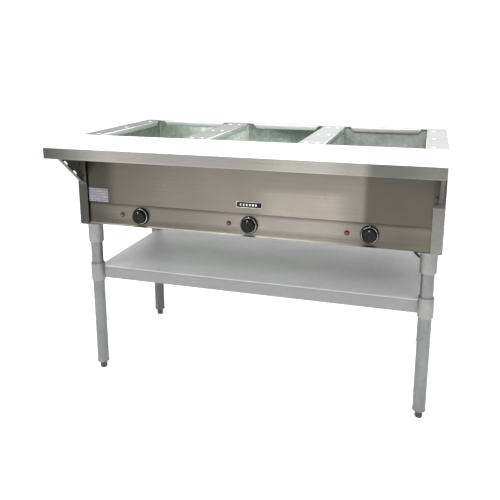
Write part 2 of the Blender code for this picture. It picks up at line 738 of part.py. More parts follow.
# Badge, plate and mains cord


def make_plates():
    front = PANEL_Y - GAP
    box("badge", (-0.034, front - 0.0015, 0.666), (0.052, front, 0.686), BLACK, 0.0005)
    box("data_plate", (-0.5715, front - 0.0005, 0.650), (-0.498, front, 0.697), LABEL)


def make_cord():
    relief = [
        (0, RELIEF_LENGTH),
        (CORD_R + 0.0012, RELIEF_LENGTH),
        (CORD_R + 0.0035, 0.010),
        (0.0115, 0.008),
        (0.0115, GAP),
        (0.008, GAP),
        (0.008, -0.012),
        (0, -0.012),
    ]
    turned("strain_relief", relief, RUBBER, RELIEF, "Y", 20)
    tube("power_cord", catmull([Vector(p) for p in ROUTE], 0.024), CORD_R, RUBBER)
    radius, steps = HANK_LOOP + CORD_R, 10
    rim = []
    for x, start in ((HANK_RIGHT, -math.pi / 2), (HANK_LEFT, math.pi / 2)):
        for step in range(steps + 1):
            turn = start + math.pi * step / steps
            rim.append((x + radius * math.cos(turn), HANK_Y + radius * math.sin(turn)))
    height = HANK_LAYERS * HANK_PITCH
    hank = outline_mesh("cord_hank", [rim], height)
    hank.transform(Matrix.Translation((0, 0, HANK_BOTTOM + height / 2)))
    add("cord_hank", hank, RUBBER)
    make_tie(radius, height)
    make_plug()


def make_tie(radius, height):
    slack, band, width = 0.0003, 0.0015, 0.012
    low_y, high_y = HANK_Y - radius - slack, HANK_Y + radius + slack
    low_z, high_z = HANK_BOTTOM - slack, HANK_BOTTOM + height + slack
    outer = [(low_y - band, low_z - band), (high_y + band, low_z - band)]
    outer += [(high_y + band, high_z + band), (low_y - band, high_z + band)]
    inner = [(low_y, low_z), (high_y, low_z), (high_y, high_z), (low_y, high_z)]
    ring = outline_mesh("cord_tie", [outer, inner], width)
    lay = Matrix(((0, 0, 1, 0), (1, 0, 0, 0), (0, 1, 0, 0), (0, 0, 0, 1)))
    ring.transform(Matrix.Translation(((HANK_LEFT + HANK_RIGHT) / 2, 0, 0)) @ lay)
    add("cord_tie", ring, BLACK)


def make_plug():
    """A grounded plug that lies on the ledge, with its tail rising from the hank's lowest run."""
    ledge = BODY_BOTTOM + SHEET
    tail = Vector((HANK_LEFT - 0.0228, RUN_Y, HANK_BOTTOM + HANK_PITCH / 2))
    axis_z = ledge + 0.0005 + 0.012
    body_right, body_left = tail.x - 0.024, tail.x - 0.060
    low = (body_left, RUN_Y - 0.014, axis_z - 0.012)
    made = box("plug", low, (body_right, RUN_Y + 0.014, axis_z + 0.012), BLACK)
    neck = Vector((body_right - 0.002, RUN_Y, axis_z)) - tail
    bm = bmesh.new()
    bmesh.ops.create_cone(bm, cap_ends=True, segments=16, radius1=0.0062, radius2=0.0095, depth=neck.length)
    aim = neck.to_track_quat("Z", "Y").to_matrix().to_4x4()
    bm.transform(Matrix.Translation(tail + neck / 2) @ aim)
    boolean(made, add("plug_neck", to_mesh("plug_neck", bm), None, CUTTERS), "UNION")
    for y in (-0.0063, 0.0063):
        near_end = (body_left - 0.017, RUN_Y + y - 0.00075, axis_z + 0.001)
        root = (body_left + 0.002, RUN_Y + y + 0.00075, axis_z + 0.0075)
        boolean(made, add("plug_blade", box_mesh("blade", near_end, root), None, CUTTERS), "UNION")
    pin = rods("plug_pin", [(body_left - 0.0095, RUN_Y, axis_z - 0.0062)], 0.0024, 0.023, "X", 12)
    boolean(made, pin, "UNION")


make_top_sheet()
for end in (-1, 1):
    make_end_panel(end)
    make_bracket(end)
make_rear_panel()
make_front_panel()
make_control_panel()
make_control_trough()
for well in range(WELLS):
    make_well(well)
    make_control(well)
make_board_shelf()
make_board()
make_bolts()
make_undershelf()
for number, (leg_x, leg_y) in enumerate(leg_places(), 1):
    make_leg(number, leg_x, leg_y)
make_plates()
make_cord()
bpy.context.view_layer.update()
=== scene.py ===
"""The looks of a three-well steam table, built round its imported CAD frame.

Metres, +Z up. The front, with the controls and the cutting board, faces -Y.
"""

import math  # noqa: E402

import bmesh  # noqa: E402
import bpy  # noqa: E402
from mathutils import Matrix, Vector  # noqa: E402


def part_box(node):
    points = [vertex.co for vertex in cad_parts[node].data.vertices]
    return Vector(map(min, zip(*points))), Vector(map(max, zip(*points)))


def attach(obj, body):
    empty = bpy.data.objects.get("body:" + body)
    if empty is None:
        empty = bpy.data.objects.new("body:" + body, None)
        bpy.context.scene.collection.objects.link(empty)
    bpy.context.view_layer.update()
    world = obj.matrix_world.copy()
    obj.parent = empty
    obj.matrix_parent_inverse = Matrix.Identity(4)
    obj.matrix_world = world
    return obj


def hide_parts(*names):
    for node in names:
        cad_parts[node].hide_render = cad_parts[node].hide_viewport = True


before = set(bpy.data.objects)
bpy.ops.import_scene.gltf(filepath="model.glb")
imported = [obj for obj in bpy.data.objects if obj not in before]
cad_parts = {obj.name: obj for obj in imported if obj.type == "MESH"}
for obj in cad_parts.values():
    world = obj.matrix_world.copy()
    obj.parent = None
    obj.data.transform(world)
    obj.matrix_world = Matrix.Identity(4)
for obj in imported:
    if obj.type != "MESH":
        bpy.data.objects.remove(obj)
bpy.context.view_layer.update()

SCENE = bpy.context.scene
WELLS = 3
LEGS = 4
MERGE = 0.00001  # vertices closer than this are one
TOUCH = 0.0001  # a vertex closer than this to a face's plane lies on it
GAP = 0.0003  # between pieces that touch or slide


def centre(node):
    low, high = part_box(node)
    return (low + high) / 2


# Camera

CAMERA_PLACE = (0.5471, -1.9616, 1.1427)
CAMERA_DOWN, CAMERA_TURN, CAMERA_ROLL = 0.2219, 0.2841, -0.0014
CAMERA_LENS = 43.07
CAMERA_SHIFT = (-0.0088, -0.1181)


def make_camera():
    data = bpy.data.cameras.new("camera")
    data.lens = CAMERA_LENS
    data.sensor_width = 36
    data.shift_x, data.shift_y = CAMERA_SHIFT
    data.clip_end = 60
    made = bpy.data.objects.new("camera", data)
    made.location = CAMERA_PLACE
    made.rotation_euler = (math.pi / 2 - CAMERA_DOWN, CAMERA_ROLL, CAMERA_TURN)
    SCENE.collection.objects.link(made)
    SCENE.camera = made


make_camera()


# Materials

# Where the knobs stand along X, which places their painted reflections on the control panel's lip
KNOB_X = centre("knob_1").x
KNOB_SPACING = centre("knob_2").x - KNOB_X


def map_range(tree, value, numbers, smooth=True):
    """A value mapped from one range to another. numbers holds both ranges."""
    made = tree.nodes.new("ShaderNodeMapRange")
    made.interpolation_type = "SMOOTHSTEP" if smooth else "LINEAR"
    for socket, number in zip(("From Min", "From Max", "To Min", "To Max"), numbers):
        made.inputs[socket].default_value = number
    tree.links.new(value, made.inputs["Value"])
    return made.outputs["Result"]


class Shader:
    """A Principled material with a few helpers for its nodes."""

    def __init__(self, name, color, rough, metallic=0.0):
        self.material = bpy.data.materials.new(name)
        self.material.use_nodes = True
        self.tree = self.material.node_tree
        self.main = self.tree.nodes["Principled BSDF"]
        self.set("Base Color", (*color, 1))
        self.set("Roughness", rough)
        self.set("Metallic", metallic)
        self.color = color
        self.place = self.node("ShaderNodeTexCoord").outputs["Object"]

    def set(self, socket, value):
        self.main.inputs[socket].default_value = value

    def node(self, kind, **settings):
        made = self.tree.nodes.new(kind)
        for key, value in settings.items():
            setattr(made, key, value)
        return made

    def link(self, source, target):
        self.tree.links.new(source, target)

    def scaled(self, scale):
        """Object coordinates, stretched."""
        made = self.node("ShaderNodeMapping")
        made.inputs["Scale"].default_value = scale
        self.link(self.place, made.inputs["Vector"])
        return made.outputs["Vector"]

    def noise(self, scale, detail=3.0, rough=0.5):
        made = self.node("ShaderNodeTexNoise")
        made.inputs["Scale"].default_value = 1.0
        made.inputs["Detail"].default_value = detail
        made.inputs["Roughness"].default_value = rough
        self.link(self.scaled(scale), made.inputs["Vector"])
        return made.outputs["Fac"]

    def cells(self, scale, feature="F1", output="Color"):
        made = self.node("ShaderNodeTexVoronoi", feature=feature)
        made.inputs["Scale"].default_value = 1.0
        self.link(self.scaled(scale), made.inputs["Vector"])
        return made.outputs[output]

    def mapped(self, value, low, high, to_low, to_high, smooth=True):
        return map_range(self.tree, value, (low, high, to_low, to_high), smooth)

    def varied(self, value, spread, amount, smooth=True):
        """A factor round 1, which changes by an amount either way as a value runs over its spread."""
        return self.mapped(value, *spread, 1 - amount, 1 + amount, smooth)

    def axis(self, letter):
        made = self.node("ShaderNodeSeparateXYZ")
        self.link(self.place, made.inputs["Vector"])
        return made.outputs[letter]

    def step(self, letter, start, end, before, after):
        """A soft step along an axis. "K" is the distance along X from the nearest knob, which places the
        knobs' painted reflections.
        """
        if letter == "K":
            along = self.math("SUBTRACT", self.axis("X"), KNOB_X)
            place = self.math("PINGPONG", along, KNOB_SPACING / 2)
        else:
            place = self.axis(letter)
        return self.mapped(place, start, end, before, after)

    def math(self, operation, first, second):
        made = self.node("ShaderNodeMath", operation=operation)
        for socket, value in zip(made.inputs, (first, second)):
            if isinstance(value, (int, float)):
                socket.default_value = value
            else:
                self.link(value, socket)
        return made.outputs["Value"]

    def tinted(self, factor, color=None):
        """A colour times a factor, into the base colour."""
        made = self.node("ShaderNodeVectorMath", operation="SCALE")
        if color is None:
            made.inputs[0].default_value = self.color
        else:
            self.link(color, made.inputs[0])
        self.link(factor, made.inputs["Scale"])
        self.link(made.outputs["Vector"], self.main.inputs["Base Color"])

    def bump(self, height, distance, strength=0.5):
        made = self.node("ShaderNodeBump")
        made.inputs["Distance"].default_value = distance
        made.inputs["Strength"].default_value = strength
        self.link(height, made.inputs["Height"])
        self.link(made.outputs["Normal"], self.main.inputs["Normal"])


# Noise scales, in cycles a metre along each axis, and the spreads of their values
BROAD_SCALE, SMEAR_SCALE, SPANGLE_SCALE = (3.1, 3.7, 4.3), (9, 11, 8), (75, 75, 75)
FINE_SPREAD, BROAD_SPREAD = (0.25, 0.75), (0.3, 0.7)
ALONG_X, ALONG_Y, ALONG_Z = (2.2, 420, 420), (420, 2.2, 420), (420, 420, 2.2)


def steel(
    name, color, rough, grain, streak=0.16, blotch=0.10, shade=(), painted_light_patches=(), spangle=0.0, depth=0.00006,
    metallic=1.0, smear=0.07,
):
    """Brushed or galvanised sheet.

    grain is the noise scale along each axis. The streaks, the broad blotches and the spangle vary the tone,
    and smear varies the roughness. shade is a list of soft steps that paint light and shade into the colour
    by place, each (axis, start, end, factor before, factor after). The list of patches paints light where a
    patch's gain is above zero and shade where it is below; each patch is a gain with the soft steps that
    bound it.
    """
    made = Shader(name, color, rough, metallic)
    fine = made.noise(grain, 4.0, 0.6)
    broad = made.noise(BROAD_SCALE, 2.0)
    factor = made.varied(fine, FINE_SPREAD, streak, smooth=False)
    factor = made.math("MULTIPLY", factor, made.varied(broad, BROAD_SPREAD, blotch))
    if spangle:
        cell = made.node("ShaderNodeSeparateColor")
        made.link(made.cells(SPANGLE_SCALE), cell.inputs[0])
        factor = made.math("MULTIPLY", factor, made.varied(cell.outputs[0], (0, 1), spangle, smooth=False))
    # Painted light and shade, multiplied into the tone by place
    for step in shade:
        factor = made.math("MULTIPLY", factor, made.step(*step))
    for gain, steps in painted_light_patches:
        patch = made.step(*steps[0])
        for step in steps[1:]:
            patch = made.math("MULTIPLY", patch, made.step(*step))
        factor = made.math("MULTIPLY", factor, made.mapped(patch, 0, 1, 1, 1 + gain, smooth=False))
    made.tinted(factor)
    smears = made.noise(SMEAR_SCALE, 3.0)
    rough_map = made.mapped(smears, *BROAD_SPREAD, rough - smear, rough + smear)
    rough_map = made.math("ADD", rough_map, made.mapped(fine, 0.2, 0.8, -0.04, 0.04, smooth=False))
    made.link(rough_map, made.main.inputs["Roughness"])
    made.bump(fine, depth, 0.6)
    return made.material


# Soft steps used more than once: the mask of the painted shade on the end panels' front flanges,
# and the painted shade on the two rear legs
ON_FLANGE = ("Y", -0.178, -0.174, 1, 0)
REAR_PAINTED_SHADE = ("Y", 0.2, 0.3, 1.0, 0.62)


def make_materials():
    made = {}
    # Painted reflections: darker towards both ends and the top, lighter in a patch low right of the middle
    made["apron"] = steel(
        "apron_steel", (0.205, 0.188, 0.159), 0.34, ALONG_X, streak=0.08, blotch=0.06, shade=[
            ("X", -0.515, -0.455, 0.52, 0.97), ("X", -0.56, -0.02, 0.54, 0.98),
            ("X", 0.362, 0.388, 1.0, 0.49), ("Z", 0.70, 0.872, 1.08, 0.90)],
        painted_light_patches=[(0.42, [("X", 0.00, 0.10, 0, 1), ("X", 0.26, 0.36, 1, 0), ("Z", 0.712, 0.745, 1, 0)])],
    )
    # Painted reflections: darker ends, a lighter middle and bottom lip, and a dark reflection of each knob on
    # the lip
    # Painted shadow: a dark band across the top, under the apron's lower edge
    made["control"] = steel(
        "control_steel", (0.238, 0.221, 0.190), 0.32, ALONG_X, streak=0.08, blotch=0.05, shade=[
            ("X", -0.56, -0.42, 0.37, 0.62), ("X", -0.30, 0.08, 1.0, 1.75), ("X", 0.24, 0.43, 1.0, 0.50),
            ("X", 0.48, 0.56, 1.0, 1.2), ("Z", 0.574, 0.590, 1.18, 1.0), ("Z", 0.632, 0.6435, 1.0, 0.62),
            ("Z", 0.6430, 0.6450, 1.0, 0.7)],
        painted_light_patches=[(-0.80, [("K", 0.010, 0.032, 1, 0), ("Z", 0.5730, 0.5800, 1, 0)])],
    )
    # Painted reflections: the nosing lightens and darkens along its length, darkest at its left end
    made["nosing"] = steel(
        "nosing_steel", (0.285, 0.277, 0.254), 0.30, ALONG_X, streak=0.06, blotch=0.05, shade=[
            ("X", -0.60, -0.36, 0.36, 1.28), ("X", -0.36, -0.06, 1.0, 0.76), ("X", 0.06, 0.20, 1.0, 1.38),
            ("X", 0.27, 0.35, 1.0, 0.82), ("X", 0.375, 0.420, 1.0, 0.47), ("X", 0.47, 0.58, 1.0, 1.3)],
    )
    # Painted shade on the front flanges: all of the left one, and the upper part of the right one
    made["end"] = steel(
        "end_steel", (0.190, 0.188, 0.176), 0.36, ALONG_Y,
        painted_light_patches=[
            (-0.67, [("X", -0.2, -0.1, 1, 0), ON_FLANGE]),
            (-0.50, [("X", 0.1, 0.2, 0, 1), ON_FLANGE, ("Z", 0.706, 0.712, 0, 1)]),
        ],
    )
    made["back"] = steel("back_steel", (0.27, 0.262, 0.24), 0.36, ALONG_X)
    # A dark copy of the steel: painted shade on the brackets under the board
    made["bracket"] = steel("bracket_painted_shade", (0.085, 0.083, 0.074), 0.46, ALONG_Z, metallic=0.4)
    made["bolt"] = steel("bolt_steel", (0.07, 0.07, 0.062), 0.40, (200, 200, 200), streak=0.10, metallic=0.7)
    # Painted shade: the left end rail and the first divider darker than the rest of the top
    made["top"] = steel(
        "top_steel", (0.54, 0.55, 0.545), 0.30, ALONG_X, streak=0.06, blotch=0.05, metallic=0.4,
        shade=[("X", -0.545, -0.535, 0.34, 1.0)],
        painted_light_patches=[(-0.42, [("X", -0.25, -0.24, 0, 1), ("X", -0.15, -0.14, 1, 0)])],
    )
    # A near-white matte copy of the top steel: painted light on the tabs that turn down into the wells
    made["tab"] = steel(
        "tab_painted_light", (0.93, 0.92, 0.90), 0.38, ALONG_X, streak=0.04, blotch=0.03, metallic=0.0,
    )
    # A near-white copy of the top steel: the painted highlight on each boss
    made["boss"] = steel(
        "boss_painted_highlight", (0.92, 0.92, 0.92), 0.25, ALONG_X, streak=0.03, blotch=0.02, metallic=0.3,
    )
    # Painted shade darkens the right-hand well, and painted light lightens the rear of each well
    made["liner"] = steel(
        "liner_steel", (0.39, 0.445, 0.395), 0.45, (60, 60, 14), streak=0.10, blotch=0.04, spangle=0.16,
        metallic=0.10,
        shade=[("X", 0.19, 0.26, 1.0, 0.31), ("Y", 0.0, 0.3, 1.0, 1.15)],
    )
    # Painted shade darkens the two rear legs
    made["galvanised"] = steel(
        "galvanised", (0.180, 0.186, 0.186), 0.42, (90, 90, 22), streak=0.07, spangle=0.05, metallic=0.8,
        shade=[REAR_PAINTED_SHADE],
    )
    # Painted light and shade: the pale base colour lightens the shelf under the body; the front edge and the
    # front are darker
    made["shelf"] = steel(
        "shelf_steel", (0.82, 0.82, 0.825), 0.48, (140, 8, 140), streak=0.02, blotch=0.02, spangle=0.02,
        metallic=0.30, depth=0.00001, smear=0.03,
        shade=[("Z", 0.3985, 0.4010, 0.29, 1.0), ("Y", -0.25, 0.05, 0.92, 1.02)],
    )
    # Painted shade darkens the rear sockets and collars
    made["cast"] = steel(
        "cast_steel", (0.240, 0.240, 0.235), 0.48, (160, 160, 160), streak=0.10, spangle=0.04,
        depth=0.0001, metallic=0.7, shade=[REAR_PAINTED_SHADE],
    )
    made["foot"] = steel("foot_steel", (0.064, 0.064, 0.058), 0.45, (200, 200, 60), streak=0.20, metallic=0.8)
    made["trough"] = steel("trough_steel", (0.40, 0.41, 0.41), 0.45, (80, 80, 80), streak=0.10, spangle=0.14)
    made["sheath"] = steel("sheath", (0.10, 0.090, 0.080), 0.48, (120, 30, 120), streak=0.30, blotch=0.25)
    made["chrome"] = steel("chrome", (0.40, 0.40, 0.40), 0.18, (200, 200, 200), streak=0.04, blotch=0.03)
    made["bezel"] = moulded("bezel_red", (0.065, 0.009, 0.011), 0.35)
    made["brass"] = steel("plug_brass", (0.60, 0.50, 0.28), 0.25, (300, 40, 300), streak=0.10)
    made["black"] = moulded("black_plastic", (0.0075, 0.0075, 0.007), 0.40, gloss=0.18)
    made["switch"] = moulded("switch_plastic", (0.030, 0.030, 0.032), 0.50)
    made["rubber"] = moulded("cord_rubber", (0.022, 0.022, 0.023), 0.55, grains=900)
    made["index"] = moulded("index_paint", (0.72, 0.72, 0.70), 0.45)
    made["lens"] = lens_material()
    made["board"] = board_material()
    made["plate"] = plate_material()
    made["weave"] = weave_material()
    return made


def moulded(name, color, rough, grains=1400, gloss=0.5):
    """Moulded plastic or rubber with a fine grain and a little dust."""
    made = Shader(name, color, rough)
    made.set("Specular IOR Level", gloss)
    fine = made.noise((grains, grains, grains), 2.0)
    dust = made.noise((38, 41, 35), 4.0)
    made.tinted(made.mapped(dust, 0.35, 0.75, 0.8, 1.7))
    made.link(made.mapped(dust, 0.3, 0.7, rough - 0.06, rough + 0.12), made.main.inputs["Roughness"])
    made.bump(fine, 0.00004, 0.5)
    return made.material


def lens_material():
    """A clear red lens with small facets."""
    made = Shader("red_lens", (0.16, 0.004, 0.009), 0.26)
    facets = made.cells((520, 520, 520), "DISTANCE_TO_EDGE", "Distance")
    made.tinted(made.mapped(facets, 0.0, 0.25, 0.55, 1.35))
    made.set("Coat Weight", 0.25)
    made.set("Coat Roughness", 0.08)
    made.bump(facets, 0.0002, 0.4)
    return made.material


def board_material():
    """White polyethylene: a fine pebbled face with shallow knife cuts."""
    made = Shader("board_white", (0.92, 0.92, 0.905), 0.42)
    pebble = made.noise((650, 650, 650), 2.0)
    cuts = made.node("ShaderNodeTexNoise")
    cuts.inputs["Scale"].default_value = 1.0
    cuts.inputs["Detail"].default_value = 5.0
    cuts.inputs["Distortion"].default_value = 0.4
    made.link(made.scaled((46, 520, 60)), cuts.inputs["Vector"])
    stain = made.noise((7, 15, 9), 3.0)
    made.tinted(made.mapped(stain, 0.35, 0.75, 1.0, 0.955))
    made.link(made.mapped(stain, 0.3, 0.7, 0.36, 0.50), made.main.inputs["Roughness"])
    made.set("Subsurface Weight", 0.05)
    height = made.math("ADD", pebble, made.mapped(cuts.outputs["Fac"], 0.66, 0.70, 0.0, -1.5))
    made.bump(height, 0.00008, 0.5)
    return made.material


def plate_material():
    """A silver-white rating plate with blank ruled fields and no lettering."""
    made = Shader("rating_plate", (0.20, 0.205, 0.22), 0.42, 0.1)
    fields = made.node("ShaderNodeTexBrick")
    fields.inputs["Color1"].default_value = (0.27, 0.275, 0.295, 1)
    fields.inputs["Color2"].default_value = (0.19, 0.195, 0.21, 1)
    fields.inputs["Mortar"].default_value = (0.085, 0.087, 0.095, 1)
    fields.inputs["Scale"].default_value = 1.0
    fields.inputs["Mortar Size"].default_value = 0.035
    fields.inputs["Brick Width"].default_value = 1.3
    fields.inputs["Row Height"].default_value = 0.5
    fields.offset = 0.37
    turn = made.node("ShaderNodeMapping")
    turn.inputs["Scale"].default_value = (55, 55, 55)
    turn.inputs["Rotation"].default_value = (-math.pi / 2, 0, 0)
    made.link(made.place, turn.inputs["Vector"])
    made.link(turn.outputs["Vector"], fields.inputs["Vector"])
    made.tinted(made.mapped(made.noise((60, 60, 60), 2.0), 0.3, 0.7, 0.9, 1.08), fields.outputs["Color"])
    return made.material


def weave_material():
    """Woven black strap."""
    made = Shader("strap_weave", (0.025, 0.025, 0.027), 0.75)
    threads = made.node("ShaderNodeTexWave", bands_direction="DIAGONAL")
    threads.inputs["Scale"].default_value = 520.0
    threads.inputs["Distortion"].default_value = 1.5
    made.link(made.place, threads.inputs["Vector"])
    made.tinted(made.mapped(threads.outputs["Fac"], 0.0, 1.0, 0.6, 1.8))
    made.bump(threads.outputs["Fac"], 0.0003, 0.6)
    return made.material


LOOKS = make_materials()


# Mesh helpers


def finished(name, shape, look, body, nodes=(), angle=35):
    """Makes a piece of a bmesh or a mesh, with its look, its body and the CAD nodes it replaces."""
    mesh = shape if isinstance(shape, bpy.types.Mesh) else to_mesh(name, shape)
    made = bpy.data.objects.new(name, mesh)
    SCENE.collection.objects.link(made)
    for item in [look] if isinstance(look, str) else look:
        mesh.materials.append(LOOKS[item])
    mesh.shade_smooth()
    mesh.set_sharp_from_angle(angle=math.radians(angle))
    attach(made, body)
    if nodes:
        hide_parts(*nodes)
    return made


def to_mesh(name, bm):
    bmesh.ops.recalc_face_normals(bm, faces=bm.faces)
    mesh = bpy.data.meshes.new(name)
    bm.to_mesh(mesh)
    bm.free()
    return mesh


def merge(bm, distance=MERGE):
    bmesh.ops.remove_doubles(bm, verts=bm.verts, dist=distance)


def cad_bmesh(node):
    """A copy of a CAD node's mesh, with its split points joined and its flat faces whole."""
    bm = bmesh.new()
    bm.from_mesh(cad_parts[node].data)
    merge(bm, 2 * MERGE)
    bmesh.ops.dissolve_limit(bm, angle_limit=math.radians(1.5), verts=bm.verts, edges=bm.edges)
    return bm


def rounded(bm, test, offset, segments=3):
    """Rounds the sharp edges whose two ends pass a test."""
    sharp = [
        edge for edge in bm.edges
        if len(edge.link_faces) == 2 and edge.calc_face_angle(0) > 0.4 and all(test(v.co) for v in edge.verts)
    ]
    if sharp:
        bmesh.ops.bevel(bm, geom=sharp, offset=offset, segments=segments, affect="EDGES", clamp_overlap=True)


def softened(name, bm, look, body, nodes, width=0.0004, angle=35):
    """A piece whose remaining sharp edges get a small round."""
    made = finished(name, bm, look, body, nodes, angle)
    soft = made.modifiers.new("edges", "BEVEL")
    soft.width = width
    soft.segments = 2
    soft.limit_method = "ANGLE"
    soft.angle_limit = math.radians(50)
    soft.harden_normals = False
    return made


def lathe(bm, profile, steps=48, matrix=None, wobble=None):
    """Adds a turned shape to a bmesh.

    profile holds (radius, height) pairs. wobble(turn, radius, height) gives what to add to a radius.
    """
    rings = []
    for radius, height in profile:
        if radius == 0:
            rings.append([bm.verts.new((0, 0, height))])
            continue
        ring = []
        for step in range(steps):
            turn = 2 * math.pi * step / steps
            r = radius + (wobble(turn, radius, height) if wobble else 0)
            ring.append(bm.verts.new((r * math.cos(turn), r * math.sin(turn), height)))
        rings.append(ring)
    faces = []
    for low, high in zip(rings, rings[1:]):
        for step in range(steps):
            a, b = step, (step + 1) % steps
            corners = [low[a % len(low)], low[b % len(low)], high[b % len(high)], high[a % len(high)]]
            corners = list(dict.fromkeys(corners))
            if len(corners) > 2:
                faces.append(bm.faces.new(corners))
    if matrix is not None:
        bmesh.ops.transform(bm, matrix=matrix, verts=[v for ring in rings for v in ring])
    return faces


def block(bm, low, high, matrix=None, bevel=0.0, segments=2):
    """Adds a box with rounded edges to a bmesh."""
    verts = bmesh.ops.create_cube(bm, size=1)["verts"]
    size, middle = Vector(high) - Vector(low), (Vector(high) + Vector(low)) / 2
    bmesh.ops.scale(bm, vec=size, verts=verts)
    bmesh.ops.translate(bm, vec=middle, verts=verts)
    faces = list({face for vert in verts for face in vert.link_faces})
    if bevel:
        edges = list({edge for vert in verts for edge in vert.link_edges})
        cut = bmesh.ops.bevel(bm, geom=edges, offset=bevel, segments=segments, affect="EDGES")
        faces = list({face for vert in cut["verts"] for face in vert.link_faces})
        verts = list({vert for face in faces for vert in face.verts})
    if matrix is not None:
        bmesh.ops.transform(bm, matrix=matrix, verts=verts)
    return faces


def tube(name, points, radius, resolution, look, nodes):
    """A round tube through points, part of the table."""
    curve = bpy.data.curves.new(name, "CURVE")
    curve.dimensions = "3D"
    curve.bevel_depth = radius
    curve.bevel_resolution = resolution
    curve.use_fill_caps = True
    spline = curve.splines.new("POLY")
    spline.points.add(len(points) - 1)
    for point, place in zip(spline.points, points):
        point.co = (*place, 1)
    spline.use_smooth = True
    curve.materials.append(LOOKS[look])
    made = bpy.data.objects.new(name, curve)
    SCENE.collection.objects.link(made)
    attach(made, "table")
    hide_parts(*nodes)
    return made


def second_look(faces):
    """Gives faces the second of a piece's looks."""
    for face in faces:
        if face.is_valid:
            face.material_index = 1


def facing_front(place):
    """Turns a shape's +Z to -Y and puts it at a place."""
    return Matrix.Translation(place) @ Matrix.Rotation(math.pi / 2, 4, "X")


# Mains cord. The points are the route of the CAD tube, and the hank's turns follow in the space of its solid.

CORD_R = 0.0045
HANK_LEFT, HANK_RIGHT, HANK_Y, HANK_LOOP = 0.352, 0.463, 0.3505, 0.0225
HANK_TURNS, HANK_PITCH = 3, 0.0094
HANK_LOW = 0.5714 + HANK_PITCH / 2
PLUG_TAIL = 0.3292
TROUGH_WALL = -0.112  # the wall that the strain relief goes through
ROUTE = [
    (0.487, -0.0785, 0.600),
    (0.487, -0.060, 0.5995),
    (0.491, -0.042, 0.590),
    (0.501, -0.033, 0.567),
    (0.515, -0.030, 0.541),
    (0.532, -0.027, 0.516),
    (0.551, -0.017, 0.497),
    (0.565, 0.006, 0.489),
    (0.570, 0.042, 0.4885),
    (0.568, 0.090, 0.492),
    (0.562, 0.140, 0.500),
    (0.555, 0.190, 0.514),
    (0.550, 0.232, 0.534),
    (0.548, 0.262, 0.553),
    (0.547, 0.286, 0.570),
    (0.541, 0.307, 0.5845),
    (0.528, 0.3215, 0.595),
    (0.512, 0.3272, 0.6012),
    (0.498, 0.328, 0.6038),
    (0.4838, 0.328, 0.6043),
]


def catmull(points, steps):
    """A smooth curve through points, with some steps between each two."""
    ends = [points[0] * 2 - points[1], *points, points[-1] * 2 - points[-2]]
    fine = []
    for a, b, c, d in zip(ends, ends[1:], ends[2:], ends[3:]):
        for step in range(steps):
            t = step / steps
            square, cube = (2 * a - 5 * b + 4 * c - d) * t**2, (3 * b - a - 3 * c + d) * t**3
            fine.append(0.5 * (2 * b + (c - a) * t + square + cube))
    return [*fine, points[-1]]


def hank_turns():
    """The hank's turns, from the top layer down: front run, left loop, rear run, right loop."""
    run, loop = HANK_RIGHT - HANK_LEFT, math.pi * HANK_LOOP
    length = 2 * (run + loop)
    points = []
    samples = 44
    for step in range(HANK_TURNS * samples + round(samples * run / length) + 1):
        walked = step / samples * length
        along = walked % length
        z = HANK_LOW + HANK_PITCH * max(0.0, HANK_TURNS - walked / length)
        if along < run:
            place = (HANK_RIGHT - along, HANK_Y - HANK_LOOP)
        elif along < run + loop:
            angle = math.pi * (along - run) / loop
            place = (HANK_LEFT - HANK_LOOP * math.sin(angle), HANK_Y - HANK_LOOP * math.cos(angle))
        elif along < 2 * run + loop:
            place = (HANK_LEFT + along - run - loop, HANK_Y + HANK_LOOP)
        else:
            angle = math.pi * (along - 2 * run - loop) / loop
            place = (HANK_RIGHT + HANK_LOOP * math.sin(angle), HANK_Y + HANK_LOOP * math.cos(angle))
        points.append(Vector((*place, z)))
    points.append(Vector((PLUG_TAIL - 0.003, HANK_Y - HANK_LOOP, HANK_LOW)))
    return points


def make_cord():
    points = catmull([Vector(p) for p in ROUTE], 3) + hank_turns()
    made = tube("mains_cord", points, CORD_R, 4, "rubber", ["power_cord", "cord_hank"])
    length = sum((q - p).length for p, q in zip(points, points[1:]))
    return made, round(length, 3)


def make_relief():
    """A hexagonal nut, a flange and a boot with ribs, thinner towards the cord."""
    place = centre("strain_relief")
    place.y = TROUGH_WALL
    matrix = Matrix.Translation(place) @ Matrix.Rotation(-math.pi / 2, 4, "X")
    flange = [(0.0114, 0.0003), (0.0115, 0.0010), (0.0115, 0.0030), (0.0108, 0.0036), (CORD_R, 0.0036)]
    thread = [(0.0, -0.011), (0.0075, -0.011), (0.0079, -0.0105), (0.0079, 0.0004)]
    nut = [(0.0104, 0.0034), (0.0106, 0.0042), (0.0106, 0.0078), (0.0098, 0.0086), (0.0050, 0.0086)]
    boot = [(0.0086, 0.0080)]
    ribs, rib_pitch, rib_depth = 6, 0.0037, 0.0010
    for rib in range(ribs):
        start, radius = 0.0092 + rib * rib_pitch, 0.0083 - rib * 0.00045
        boot += [(radius, start), (radius, start + 0.0022), (radius - rib_depth, start + 0.0025)]
        boot.append((radius - rib_depth, start + 0.0036))
    boot += [(0.0054, 0.0326), (0.0046, 0.0330)]
    bm = bmesh.new()
    lathe(bm, flange, 48, matrix)
    lathe(bm, [(0.0, 0.0003), (0.0114, 0.0003)], 48, matrix)
    lathe(bm, thread, 36, matrix)
    lathe(bm, nut, 6, matrix)
    lathe(bm, boot, 32, matrix)
    return finished("strain_relief_boot", bm, "rubber", "table", ["strain_relief"], 40)


GRIP_REACH, BLADE_REACH = 0.0125, 0.0063  # from the plug's axis to its ridges and to its blades
RING_STEPS = 32


